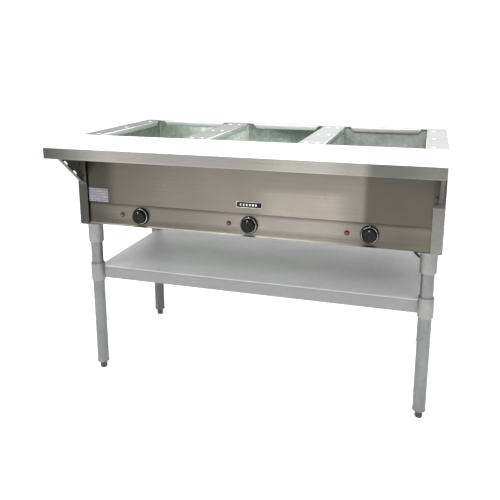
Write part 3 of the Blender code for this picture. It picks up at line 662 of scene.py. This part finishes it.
def make_plug():
    """A moulded grounded plug with a ribbed grip, two blades and a pin."""
    low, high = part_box("plug")
    axis_z = (low.z + high.z) / 2
    y = HANK_Y - HANK_LOOP
    face, back = PLUG_TAIL - 0.060, PLUG_TAIL - 0.024
    bm = bmesh.new()
    # Each section is its place along X, its half width, its half height and its lift
    sections = [
        (face, 0.0120, 0.0105, 0), (face + 0.0015, 0.0138, 0.0118, 0), (face + 0.012, 0.0139, 0.0119, 0),
        (face + 0.022, 0.0128, 0.0110, 0), (back - 0.006, 0.0110, 0.0098, 0), (back, 0.0092, 0.0086, 0),
    ]
    tail_lift = HANK_LOW - axis_z
    neck_steps = 7
    for step in range(neck_steps + 1):
        share = step / neck_steps
        radius = 0.0088 - 0.0030 * share - (0.0007 if step % 2 else 0)
        sections.append((back + 0.001 + share * 0.022, radius, radius, tail_lift * share))
    rings = []
    for x, half_y, half_z, lift in sections:
        ring = []
        for step in range(RING_STEPS):
            turn = 2 * math.pi * step / RING_STEPS
            square = 0.55 if half_y > 0.0095 else 1.0  # the grip is a rounded square, the neck is round
            c, s = math.cos(turn), math.sin(turn)
            px = math.copysign(abs(c) ** square, c) * half_y
            pz = math.copysign(abs(s) ** square, s) * half_z
            ring.append(bm.verts.new((x, y + px, axis_z + lift + pz)))
        rings.append(ring)
    for first, second in zip(rings, rings[1:]):
        for step in range(RING_STEPS):
            after = (step + 1) % RING_STEPS
            bm.faces.new((first[step], first[after], second[after], second[step]))
    bm.faces.new(rings[0])
    bm.faces.new(rings[-1])
    for ridge in range(4):
        x = face + 0.006 + ridge * 0.004
        for middle in (y - GRIP_REACH, y + GRIP_REACH):
            low = (x, middle - 0.0012, axis_z - 0.007)
            block(bm, low, (x + 0.0018, middle + 0.0012, axis_z + 0.007), bevel=0.0005)
    metal = []
    for middle in (y - BLADE_REACH, y + BLADE_REACH):
        low = (face - 0.0165, middle - 0.00075, axis_z + 0.001)
        metal += block(bm, low, (face + 0.001, middle + 0.00075, axis_z + 0.0073), bevel=0.0003)
    pin = Matrix.Translation((face + 0.001, y, axis_z - 0.0062)) @ Matrix.Rotation(-math.pi / 2, 4, "Y")
    outline = [(0.0, 0.0), (0.0023, 0.0), (0.0023, 0.0195), (0.0015, 0.0215), (0.0, 0.0218)]
    metal += lathe(bm, outline, 20, pin)
    second_look(metal)
    return finished("mains_plug", bm, ["black", "brass"], "table", ["plug"], 40)


def make_tie():
    """The strap round the hank, with its free end lying on top."""
    bm = cad_bmesh("cord_tie")
    rounded(bm, lambda c: True, 0.0005, 2)
    low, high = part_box("cord_tie")
    end_low = (low.x + 0.001, low.y + 0.006, high.z - 0.0004)
    block(bm, end_low, (high.x - 0.001, low.y + 0.030, high.z + 0.0006), bevel=0.0004)
    return finished("hank_strap", bm, "weave", "table", ["cord_tie"])


cord, cord_length = make_cord()
relief = make_relief()
plug = make_plug()
strap = make_tie()


# The body's sheets

TOP_SURFACE = 0.876
OPENING_X, OPENING_Y = 0.305, 0.505
REAR_RAIL, END_RAIL, DIVIDER = 0.0295, 0.0685, 0.085


def make_top():
    """The top: rolled outer edges, openings with rolled tabs, relief notches and low round bosses."""
    low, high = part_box("top_sheet")
    surface, sheet, roll = TOP_SURFACE, 0.0012, 0.0032
    opening_x, opening_y, notch, tab, slant = OPENING_X, OPENING_Y, 0.022, 0.018, 0.012
    middle_y = high.y - REAR_RAIL - opening_y / 2
    wells = [centre(f"well_liner_{i + 1}").x for i in range(WELLS)]
    bm = bmesh.new()
    flat = bmesh.new()

    def loop(points):
        verts = [flat.verts.new((*p, surface)) for p in points]
        return [flat.edges.new((a, b)) for a, b in zip(verts, verts[1:] + verts[:1])]

    outer = [
        (low.x + roll, low.y + roll), (high.x - roll, low.y + roll),
        (high.x - roll, high.y - roll), (low.x + roll, high.y - roll),
    ]
    edges = loop(outer)
    half_x, half_y = opening_x / 2, opening_y / 2
    for x in wells:
        points = []
        for corner in range(4):
            sx, sy = ((-1, -1), (1, -1), (1, 1), (-1, 1))[corner]
            on_x = [(half_x - notch, half_y + roll), (half_x - notch, half_y), (half_x, half_y)]
            on_y = [(half_x, half_y - notch), (half_x + roll, half_y - notch)]
            group = on_x + on_y
            if corner in (0, 2):
                group = group[::-1]
            points += [(x + sx * px, middle_y + sy * py) for px, py in group]
        edges += loop(points)
    bmesh.ops.triangle_fill(flat, use_beauty=True, use_dissolve=True, edges=edges)
    mesh = bpy.data.meshes.new("flat")
    flat.to_mesh(mesh)
    flat.free()
    bm.from_mesh(mesh)
    bpy.data.meshes.remove(mesh)

    def roll_edges(chosen, way_of, depth, end_slant=0.0, along=0, middle=0.0):
        """Extrudes edges along a quarter round and then straight down."""
        arc = 5
        steps = [(roll * (math.sin(a) - math.sin(b)), roll * (math.cos(a) - math.cos(b)))
                 for b, a in ((math.pi / 2 * k / arc, math.pi / 2 * (k + 1) / arc) for k in range(arc))]
        steps.append((0.0, -(depth - roll)))
        for number, (out, down) in enumerate(steps):
            made = bmesh.ops.extrude_edge_only(bm, edges=chosen)["geom"]
            verts = [item for item in made if isinstance(item, bmesh.types.BMVert)]
            chosen = [item for item in made if isinstance(item, bmesh.types.BMEdge)]
            for vert in verts:
                way = way_of(vert.co)
                vert.co.x += way[0] * out
                vert.co.y += way[1] * out
                vert.co.z += down
                if number == arc and end_slant:
                    vert.co[along] += end_slant * (1 if vert.co[along] < middle else -1)

    def lying(test):
        return [e for e in bm.edges if e.is_boundary and all(test(v.co) for v in e.verts)]

    def on_side(c, axis, line, middle, reach):
        """Tells whether a point of the flat sheet is on one side of an opening."""
        past = abs(c[1 - axis] - middle)
        return abs(c[axis] - line) < MERGE and past < reach + MERGE and abs(c.z - surface) < MERGE

    left, front = outer[0]
    right, back = outer[2]
    rim = lying(lambda c: min(abs(c.x - left), abs(c.x - right), abs(c.y - front), abs(c.y - back)) < MERGE)

    def outward(c):
        way_x = -1 if c.x < left + 0.001 else 1 if c.x > right - 0.001 else 0
        way_y = -1 if c.y < front + 0.001 else 1 if c.y > back - 0.001 else 0
        return way_x, way_y

    roll_edges(rim, outward, surface - low.z)
    for x in wells:
        for side in (-1, 1):
            line = x + side * (half_x + roll)
            chosen = lying(lambda c, line=line: on_side(c, 0, line, middle_y, half_y - notch))
            roll_edges(chosen, lambda c, side=side: (-side, 0), tab, slant, 1, middle_y)
            line = middle_y + side * (half_y + roll)
            chosen = lying(lambda c, line=line, x=x: on_side(c, 1, line, x, half_x - notch))
            roll_edges(chosen, lambda c, side=side: (0, -side), tab, slant, 0, x)
    bmesh.ops.recalc_face_normals(bm, faces=bm.faces)
    if max(bm.faces, key=lambda face: face.calc_area()).normal.z < 0:
        bmesh.ops.reverse_faces(bm, faces=bm.faces)
    # The tabs take the second look, the near-white copy that paints light on them
    for face in bm.faces:
        middle = face.calc_center_median()
        inside = abs(middle.x) < high.x - 0.02 and abs(middle.y - middle_y) < half_y + roll / 2
        if inside and middle.z < surface - roll * 0.3 and abs(face.normal.z) < 0.75:
            face.material_index = 1
    skin = bpy.data.meshes.new("top_skin")
    bm.to_mesh(skin)
    bm.free()
    made = finished("top_skin", skin, ["top", "tab"], "table", ["top_sheet"], 30)
    thick = made.modifiers.new("thickness", "SOLIDIFY")
    thick.thickness = sheet
    thick.offset = -1
    thick.use_even_offset = False
    make_bosses(middle_y, wells, high.x)


def make_bosses(middle_y, wells, end):
    """Low round bosses, in rows of three on each divider and end rail."""
    columns = [side * (end - END_RAIL * 0.66) for side in (-1, 1)]
    for x in wells[:-1]:
        columns += [x + OPENING_X / 2 + DIVIDER * share for share in (0.29, 0.71)]
    pitch = 0.205
    profile = [
        (0.0, 0.0014), (0.002, 0.00135), (0.0042, 0.00105), (0.0058, 0.0006), (0.0072, 0.0001),
        (0.0074, -0.0004), (0.0, -0.0004),
    ]
    bm = bmesh.new()
    for x in columns:
        for y in (middle_y - pitch, middle_y, middle_y + pitch):
            lathe(bm, profile, 24, Matrix.Translation((x, y, TOP_SURFACE)))
    # The near-white look is the bosses' painted highlight
    finished("top_bosses", bm, "boss", "table", (), 60)


FOLD_ROUND = 0.0022  # the round of a folded edge that shows

# Sheets that keep the CAD shape: the piece, its node, its look, its slot and the width of its edges
PLAIN_SHEETS = [
    ("rear_sheet", "rear_panel", "back", "stainless", 0.0006),
    ("apron_sheet", "front_panel", "apron", "stainless", 0.0004),
    ("control_sheet", "control_panel", "control", "stainless", 0.0005),
    ("trough_sheet", "control_trough", "trough", "galvanised", 0.0004),
]


def make_end(side, word):
    """An end of the body, and the bracket that carries that end of the board."""
    node = f"end_panel_{word}"
    bm = cad_bmesh(node)
    low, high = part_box(node)
    outer = low.x if side < 0 else high.x
    rounded(bm, lambda c: abs(c.x - outer) < TOUCH and abs(c.y - low.y) < TOUCH, FOLD_ROUND, 4)
    softened(f"end_sheet_{word}", bm, "end", "table", [node], 0.00035)
    node = f"board_bracket_{word}"
    softened(f"bracket_{word}", cad_bmesh(node), "bracket", "table", [node], 0.0004)


def make_nosing():
    """The channel under the board, with rounds along its lower lip and up its two front corners."""
    bm = cad_bmesh("board_shelf")
    low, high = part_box("board_shelf")
    rounded(bm, lambda c: abs(c.y - low.y) < TOUCH and abs(c.z - low.z) < TOUCH, FOLD_ROUND, 4)
    rounded(bm, lambda c: abs(abs(c.x) - high.x) < TOUCH and abs(c.y - low.y) < 0.0025, 0.0012, 3)
    softened("nosing_shelf", bm, "nosing", "table", ["board_shelf"], 0.0004)


def make_liner(i):
    """A well, with rounds up the corners of its box, which stands inside its flange."""
    node = f"well_liner_{i + 1}"
    bm = cad_bmesh(node)
    low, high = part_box(node)
    flange = 0.013
    inner_x, inner_y = (high.x - low.x) / 2 - flange, (high.y - low.y) / 2 - flange
    middle = (low + high) / 2

    def by_corner(c):
        past_x, past_y = abs(c.x - middle.x) - inner_x, abs(c.y - middle.y) - inner_y
        return -0.0002 < min(past_x, past_y) and max(past_x, past_y) < 0.003

    rounded(bm, by_corner, 0.0016, 3)
    softened(f"well_{i + 1}", bm, "liner", "table", [node], 0.0003)


def make_sheets():
    make_end(-1, "left")
    make_end(1, "right")
    for name, node, look, slot, width in PLAIN_SHEETS:
        softened(name, cad_bmesh(node), look, "table", [node], width)
    make_nosing()
    for i in range(WELLS):
        make_liner(i)


def make_undershelf():
    bm = cad_bmesh("undershelf")
    low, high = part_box("undershelf")

    def on_rim(c):
        past = min(abs(c.y - low.y), abs(c.y - high.y), abs(c.x - low.x), abs(c.x - high.x))
        return abs(c.z - high.z) < TOUCH and past < TOUCH

    rounded(bm, on_rim, 0.0030, 4)
    softened("undershelf_sheet", bm, "shelf", "shelf", ["undershelf"], 0.0004)


def make_board():
    low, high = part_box("cutting_board")
    bm = bmesh.new()
    block(bm, low, high, bevel=0.0028, segments=4)
    finished("poly_board", bm, "board", "cutting_board", ["cutting_board"], 40)


# Controls


def make_knob(i):
    """A skirted knob: a rim with an index, a plated ring, and a tall fluted cap with a dished face."""
    low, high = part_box(f"knob_{i + 1}")
    radius, height = (high.x - low.x) / 2, high.y - low.y
    matrix = facing_front(((low.x + high.x) / 2, high.y, (low.z + high.z) / 2))
    cap, deck, bore = radius * 0.80, 0.0050, 0.0034
    flutes, flute_depth, flute_rise, dish = 20, 0.0011, 0.003, 0.0165

    def grip(turn, r, z):
        depth = flute_depth * min(1.0, max(0.0, (z - deck) / flute_rise)) * (1 if r > dish else 0)
        return -depth * (0.5 - 0.5 * math.cos(flutes * turn)) ** 0.6

    bm = bmesh.new()
    skirt = [
        (bore, 0.0), (radius - 0.0006, 0.0), (radius, 0.0006), (radius, 0.0030), (radius - 0.0008, 0.0041),
        (radius - 0.0020, 0.0046), (cap + 0.0032, 0.0046), (cap + 0.0030, deck), (cap, deck),
    ]
    lathe(bm, skirt, 96, matrix)
    crown = [
        (cap, deck), (cap - 0.0002, 0.0080), (cap - 0.0008, height - 0.0030), (cap - 0.0012, height - 0.0012),
        (cap - 0.0026, height), (cap - 0.0050, height), (cap - 0.0060, height - 0.0010),
        (0.0080, height - 0.0016), (0.0070, height - 0.0006), (0.0, height - 0.0002),
    ]
    lathe(bm, crown, flutes * 8, matrix, grip)
    lathe(bm, [(bore, 0.0), (bore, 0.014), (0.0, 0.014)], 24, matrix)
    merge(bm)
    half = 0.0014  # half of an index mark's width
    rim_mark = block(bm, (-half, cap + 0.0026, 0.0044), (half, radius - 0.0006, 0.0051), matrix, 0.0002)
    low_mark, high_mark = (-half, cap - 0.0070, height - 0.0016), (half, cap - 0.0024, height)
    second_look(rim_mark + block(bm, low_mark, high_mark, matrix, 0.00015))
    body = f"dial_{i + 1}"
    finished(f"dial_knob_{i + 1}", bm, ["black", "index"], body, [f"knob_{i + 1}"], 30)
    bm = bmesh.new()
    ring = [
        (cap + 0.0004, deck), (cap + 0.0006, 0.0064), (cap + 0.0013, 0.0070), (cap + 0.0023, 0.0067),
        (cap + 0.0029, 0.0058), (cap + 0.0029, 0.0047), (cap + 0.0004, 0.0047), (cap + 0.0004, deck),
    ]
    lathe(bm, ring, 96, matrix)
    merge(bm)
    finished(f"dial_ring_{i + 1}", bm, "chrome", body, [f"knob_ring_{i + 1}"], 50)


LIP_REACH = 0.006  # from the control panel's bottom lip back to its face


def make_light(i):
    """A pilot light: a thin red bezel round a domed red lens."""
    place = centre(f"pilot_light_{i + 1}")
    place.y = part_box("control_panel")[0].y + LIP_REACH
    matrix = facing_front(place)
    lens, barrel = 0.0064, 0.017
    bezel = [
        (lens, 0.0003), (0.0084, 0.0003), (0.0085, 0.0008), (0.0080, 0.0016), (0.0071, 0.0019),
        (lens, 0.0015), (lens, 0.0003),
    ]
    dome = [
        (lens, 0.0010), (0.0063, 0.0028), (0.0056, 0.0040), (0.0040, 0.0047), (0.0022, 0.0050), (0.0, 0.0051),
    ]
    bm = bmesh.new()
    second_look(lathe(bm, bezel, 48, matrix))
    lathe(bm, dome, 48, matrix)
    lathe(bm, [(lens, 0.0010), (lens, -barrel), (0.0, -barrel)], 48, matrix)
    merge(bm)
    node = f"pilot_light_{i + 1}"
    finished(f"pilot_lens_{i + 1}", bm, ["lens", "bezel"], "table", [node], 40)


# Legs

ROUND_STEPS = 64


def make_leg(number):
    """A tube whose lower end is rolled over the foot's nut, with its socket, its collar and its foot."""
    low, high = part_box(f"leg_{number}")
    x, y = (low.x + high.x) / 2, (low.y + high.y) / 2
    radius = (high.x - low.x) / 2
    wall, nut_bore, nut_height = 0.0016, 0.0084, 0.008
    profile = [
        (radius - wall, high.z), (radius - 0.0004, high.z), (radius, high.z - 0.0004),
        (radius, low.z + 0.0045), (radius + 0.0009, low.z + 0.0040), (radius + 0.0011, low.z + 0.0010),
        (radius + 0.0006, low.z + 0.0002), (radius - 0.002, low.z), (nut_bore, low.z),
        (nut_bore, low.z + nut_height), (radius - wall, low.z + nut_height), (radius - wall, high.z),
    ]
    bm = bmesh.new()
    lathe(bm, profile, ROUND_STEPS, Matrix.Translation((x, y, 0)))
    merge(bm)
    finished(f"leg_tube_{number}", bm, "galvanised", "table", [f"leg_{number}"], 40)
    make_socket(number, x, y, radius)
    make_collar(number, x, y, radius)
    make_foot(number, x, y, low.z)


def set_screw(bm, x, y, z, radius):
    """A set screw in a round wall, on the side away from the table's middle line."""
    profile = [
        (0.0, -0.0040), (0.0042, -0.0040), (0.0042, 0.0022), (0.0036, 0.0028), (0.0022, 0.0028),
        (0.0020, 0.0004), (0.0, 0.0004),
    ]
    right = math.pi / 2
    turn = Matrix.Rotation(right if y < 0 else -right, 4, "Z") @ Matrix.Rotation(right, 4, "Y")
    lathe(bm, profile, 24, Matrix.Translation((x, y, z)) @ turn @ Matrix.Translation((0, 0, radius - 0.0005)))


def make_socket(number, x, y, leg_radius):
    """A flared cup under a square plate, with a set screw and four plate bolts."""
    low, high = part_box(f"leg_socket_{number}")
    radius, top, inner = 0.0262, high.z, leg_radius + GAP
    plate, bolt_reach = 0.003, 0.0275
    cup = [
        (0.0, top - 0.0028), (radius + 0.0034, top - 0.0028), (radius + 0.0022, top - 0.0042),
        (radius + 0.0006, top - 0.0075), (radius, top - 0.012), (radius - 0.0002, low.z + 0.010),
        (radius - 0.0004, low.z + 0.0030), (radius - 0.0012, low.z + 0.0008), (radius - 0.0024, low.z),
        (inner, low.z), (inner, top - 0.0077), (0.0, top - 0.0077),
    ]
    bolt = [(0.0036, 0.0002), (0.0036, -0.0016), (0.0030, -0.0022), (0.0, -0.0024)]
    bm = bmesh.new()
    lathe(bm, cup, ROUND_STEPS, Matrix.Translation((x, y, 0)))
    block(bm, (low.x, low.y, top - plate), (high.x, high.y, top), bevel=0.0009, segments=3)
    set_screw(bm, x, y, low.z + 0.022, radius)
    middle = (low + high) / 2
    for bolt_x in (middle.x - bolt_reach, middle.x + bolt_reach):
        for bolt_y in (middle.y - bolt_reach, middle.y + bolt_reach):
            lathe(bm, bolt, 6, Matrix.Translation((bolt_x, bolt_y, top - plate)))
    finished(f"socket_{number}", bm, "cast", "table", [f"leg_socket_{number}"])


def make_collar(number, x, y, leg_radius):
    """A short sleeve on the leg, which holds the undershelf by a set screw."""
    low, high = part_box(f"shelf_collar_{number}")
    radius, inner = (high.x - low.x) / 2, leg_radius + GAP
    ring = [
        (inner, high.z - 0.0005), (inner + 0.0006, high.z), (radius - 0.0016, high.z),
        (radius - 0.0004, high.z - 0.0008), (radius, high.z - 0.0022), (radius, low.z + 0.0022),
        (radius - 0.0006, low.z + 0.0006), (radius - 0.0018, low.z), (inner, low.z), (inner, high.z - 0.0005),
    ]
    bm = bmesh.new()
    lathe(bm, ring, ROUND_STEPS, Matrix.Translation((x, y, 0)))
    set_screw(bm, x, y, low.z + 0.012, radius)
    merge(bm)
    finished(f"collar_{number}", bm, "cast", "shelf", [f"shelf_collar_{number}"])


def make_foot(number, x, y, shoulder):
    """A bullet foot with wrench flats under a threaded stem."""
    low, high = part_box(f"foot_{number}")
    radius = (high.x - low.x) / 2
    at = Matrix.Translation((x, y, 0))
    top = shoulder - GAP

    def flats(turn, r, z):
        """Cuts six flats over the straight part of the side."""
        if not 0.0085 < z < 0.0195 or r < 0.009:
            return 0.0
        apothem, step = radius * 0.90, math.pi / 3
        local = (turn + step / 2) % step - step / 2
        return min(0.0, apothem / math.cos(local) - r)

    bm = bmesh.new()
    body = [
        (0.0, 0.0), (radius - 0.0040, 0.0), (radius - 0.0022, 0.0006), (radius - 0.0010, 0.0022),
        (radius - 0.0002, 0.0060), (radius - 0.0002, 0.0078), (radius, 0.0090), (radius, 0.0190),
        (radius - 0.0002, 0.0204), (radius, 0.0215), (radius, top - 0.0008), (radius - 0.0008, top),
        (0.0078, top),
    ]
    lathe(bm, body, 72, at, flats)
    pitch, stem, depth = 0.0018, 0.0080, 0.0009
    rows_a_turn = 4
    rows = rows_a_turn * round((high.z - top) / pitch)

    def thread(turn, r, z):
        phase = ((z - top) / pitch - turn / (2 * math.pi)) % 1.0
        return -depth * abs(2 * phase - 1)

    rise = [(stem, top + (high.z - top - 0.0010) * row / rows) for row in range(rows + 1)]
    lathe(bm, [*rise, (stem - 0.0012, high.z), (0.0, high.z)], 32, at, thread)
    name = f"levelling_foot_{number}"
    finished(name, bm, "foot", name, [f"foot_{number}"], 40)


# Small pieces

BOLTS = 4


def make_bolt(number):
    """A hexagon bolt with a washer."""
    node = f"bracket_bolt_{number}"
    low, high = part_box(node)
    head = 0.0035
    matrix = facing_front(((low.x + high.x) / 2, low.y + head, (low.z + high.z) / 2))
    washer = [(0.0, 0.0), (0.0055, 0.0), (0.0055, 0.0006), (0.0050, 0.0010), (0.0040, 0.0011), (0.0, 0.0011)]
    bm = bmesh.new()
    lathe(bm, washer, 36, matrix)
    lathe(bm, [(0.0046, 0.0008), (0.0047, 0.0028), (0.0041, 0.0034), (0.0, head)], 6, matrix)
    lathe(bm, [(0.0030, 0.0), (0.0030, -0.008), (0.0, -0.008)], 20, matrix)
    finished(f"hex_bolt_{number}", bm, "bolt", "table", [node])


def make_badge():
    """A blank name badge: a black plate with a light rim and a row of plain dashes."""
    low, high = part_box("badge")
    middle = (low + high) / 2
    bm = bmesh.new()
    second_look(block(bm, (low.x, high.y - 0.0011, low.z), high, bevel=0.0004))
    rim, skin = 0.0011, 0.0002
    plate_low = (low.x + rim, low.y + skin, low.z + rim)
    block(bm, plate_low, (high.x - rim, high.y - 0.0004, high.z - rim), bevel=0.0003)
    dashes, reach, half = 6, (high.x - low.x) / 2 - 0.012, 0.0038
    width = 1.02 * reach / dashes
    for dash in range(dashes):
        start = middle.x - reach + 2 * reach * dash / dashes
        end = (start + width, high.y - 0.0006, middle.z + half)
        second_look(block(bm, (start, low.y, middle.z - half), end, bevel=0.0002))
    finished("blank_badge", bm, ["black", "index"], "table", ["badge"])


def make_rating_plate():
    low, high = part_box("data_plate")
    bm = bmesh.new()
    block(bm, low, high, bevel=0.0001)
    finished("rating_plate", bm, "plate", "table", ["data_plate"])


def make_element(i):
    """The element's smooth sheath: down-turned ends, four long runs and three round turns."""
    node = f"heating_element_{i + 1}"
    low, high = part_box(node)
    radius = 0.004
    x, z = (low.x + high.x) / 2, high.z - radius
    runs, near_y, turn_y, far_y, bend = (-0.11, -0.04, 0.04, 0.11), -0.135, -0.075, 0.300, 0.012

    def down(run):
        """An end's quarter bend, from the bottom up to its run."""
        points = [Vector((x + run, near_y, low.z))]
        for step in range(9):
            angle = math.pi / 2 * step / 8
            rise = (near_y + bend * (1 - math.cos(angle)), z - bend * (1 - math.sin(angle)))
            points.append(Vector((x + run, *rise)))
        return points

    def turn(left, right, y, way):
        middle, reach = (left + right) / 2, (right - left) / 2
        steps = [math.pi * step / 20 for step in range(21)]
        return [Vector((x + middle - reach * math.cos(a), y + way * reach * math.sin(a), z)) for a in steps]

    points = down(runs[0]) + turn(runs[0], runs[1], far_y, 1) + turn(runs[1], runs[2], turn_y, -1)
    points += turn(runs[2], runs[3], far_y, 1) + down(runs[3])[::-1]
    tube(f"sheath_{i + 1}", points, radius, 5, "sheath", [node])


make_top()
make_sheets()
make_undershelf()
make_board()
for well in range(WELLS):
    make_knob(well)
    make_light(well)
    make_element(well)
for leg in range(1, LEGS + 1):
    make_leg(leg)
for bolt_number in range(1, BOLTS + 1):
    make_bolt(bolt_number)
make_badge()
make_rating_plate()

# CAD nodes that stay, with their own looks
KEPT = {"control_switch": "switch", "switch_shaft": "cast"}
for node_name, look in KEPT.items():
    for well in range(WELLS):
        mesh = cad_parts[f"{node_name}_{well + 1}"].data
        mesh.materials.clear()
        mesh.materials.append(LOOKS[look])


# Studio


def area_light(name, place, target, size, power):
    data = bpy.data.lights.new(name, "AREA")
    data.shape = "RECTANGLE"
    data.size, data.size_y = size
    data.energy = power
    made = bpy.data.objects.new(name, data)
    made.location = place
    made.rotation_euler = (Vector(target) - Vector(place)).to_track_quat("-Z", "Y").to_euler()
    SCENE.collection.objects.link(made)


SIDE_LIGHT, BACK_LIGHT, BACKDROP = 0.15, 0.80, 1.05


def make_world():
    """A bright studio, darker to the left and right, that the camera sees as plain white."""
    world = bpy.data.worlds.new("studio")
    world.use_nodes = True
    SCENE.world = world
    tree = world.node_tree
    new, link = tree.nodes.new, tree.links.new
    background, output = tree.nodes["Background"], tree.nodes["World Output"]
    background.inputs["Color"].default_value = (1, 1, 1, 1)
    split = new("ShaderNodeSeparateXYZ")
    link(new("ShaderNodeTexCoord").outputs["Generated"], split.inputs["Vector"])
    side = new("ShaderNodeMath")
    side.operation = "ABSOLUTE"
    link(split.outputs["X"], side.inputs[0])
    both = new("ShaderNodeMath")
    both.operation = "MULTIPLY"
    link(map_range(tree, side.outputs["Value"], (0.45, 0.95, 1.0, SIDE_LIGHT)), both.inputs[0])
    link(map_range(tree, split.outputs["Y"], (-0.2, 0.6, 1.0, BACK_LIGHT)), both.inputs[1])
    link(both.outputs["Value"], background.inputs["Strength"])
    backdrop = new("ShaderNodeBackground")
    backdrop.inputs["Color"].default_value = (1, 1, 1, 1)
    backdrop.inputs["Strength"].default_value = BACKDROP
    mix = new("ShaderNodeMixShader")
    link(new("ShaderNodeLightPath").outputs["Is Camera Ray"], mix.inputs["Fac"])
    link(background.outputs["Background"], mix.inputs[1])
    link(backdrop.outputs["Background"], mix.inputs[2])
    link(mix.outputs["Shader"], output.inputs["Surface"])


def make_studio():
    make_world()
    SCENE.view_settings.view_transform = "Standard"
    bm = bmesh.new()
    bmesh.ops.create_grid(bm, x_segments=1, y_segments=1, size=30)
    floor = bpy.data.objects.new("floor", to_mesh("floor", bm))
    SCENE.collection.objects.link(floor)
    paint = Shader("floor_paint", (0.90, 0.90, 0.90), 0.9)
    paint.tinted(paint.mapped(paint.noise((0.8, 0.8, 0.8), 2.0), 0.3, 0.7, 0.985, 1.015))
    paint.set("Emission Color", (1, 1, 1, 1))
    paint.set("Emission Strength", 0.42)
    floor.data.materials.append(paint.material)
    area_light("key", (-1.6, -2.6, 3.2), (0, 0, 0.6), (2.4, 2.4), 55)
    area_light("fill", (2.8, -2.2, 2.2), (0, 0, 0.5), (2.0, 2.0), 25)
    area_light("overhead", (0.0, -0.9, 3.3), (0, 0.2, 0.8), (3.0, 1.6), 85)


make_studio()
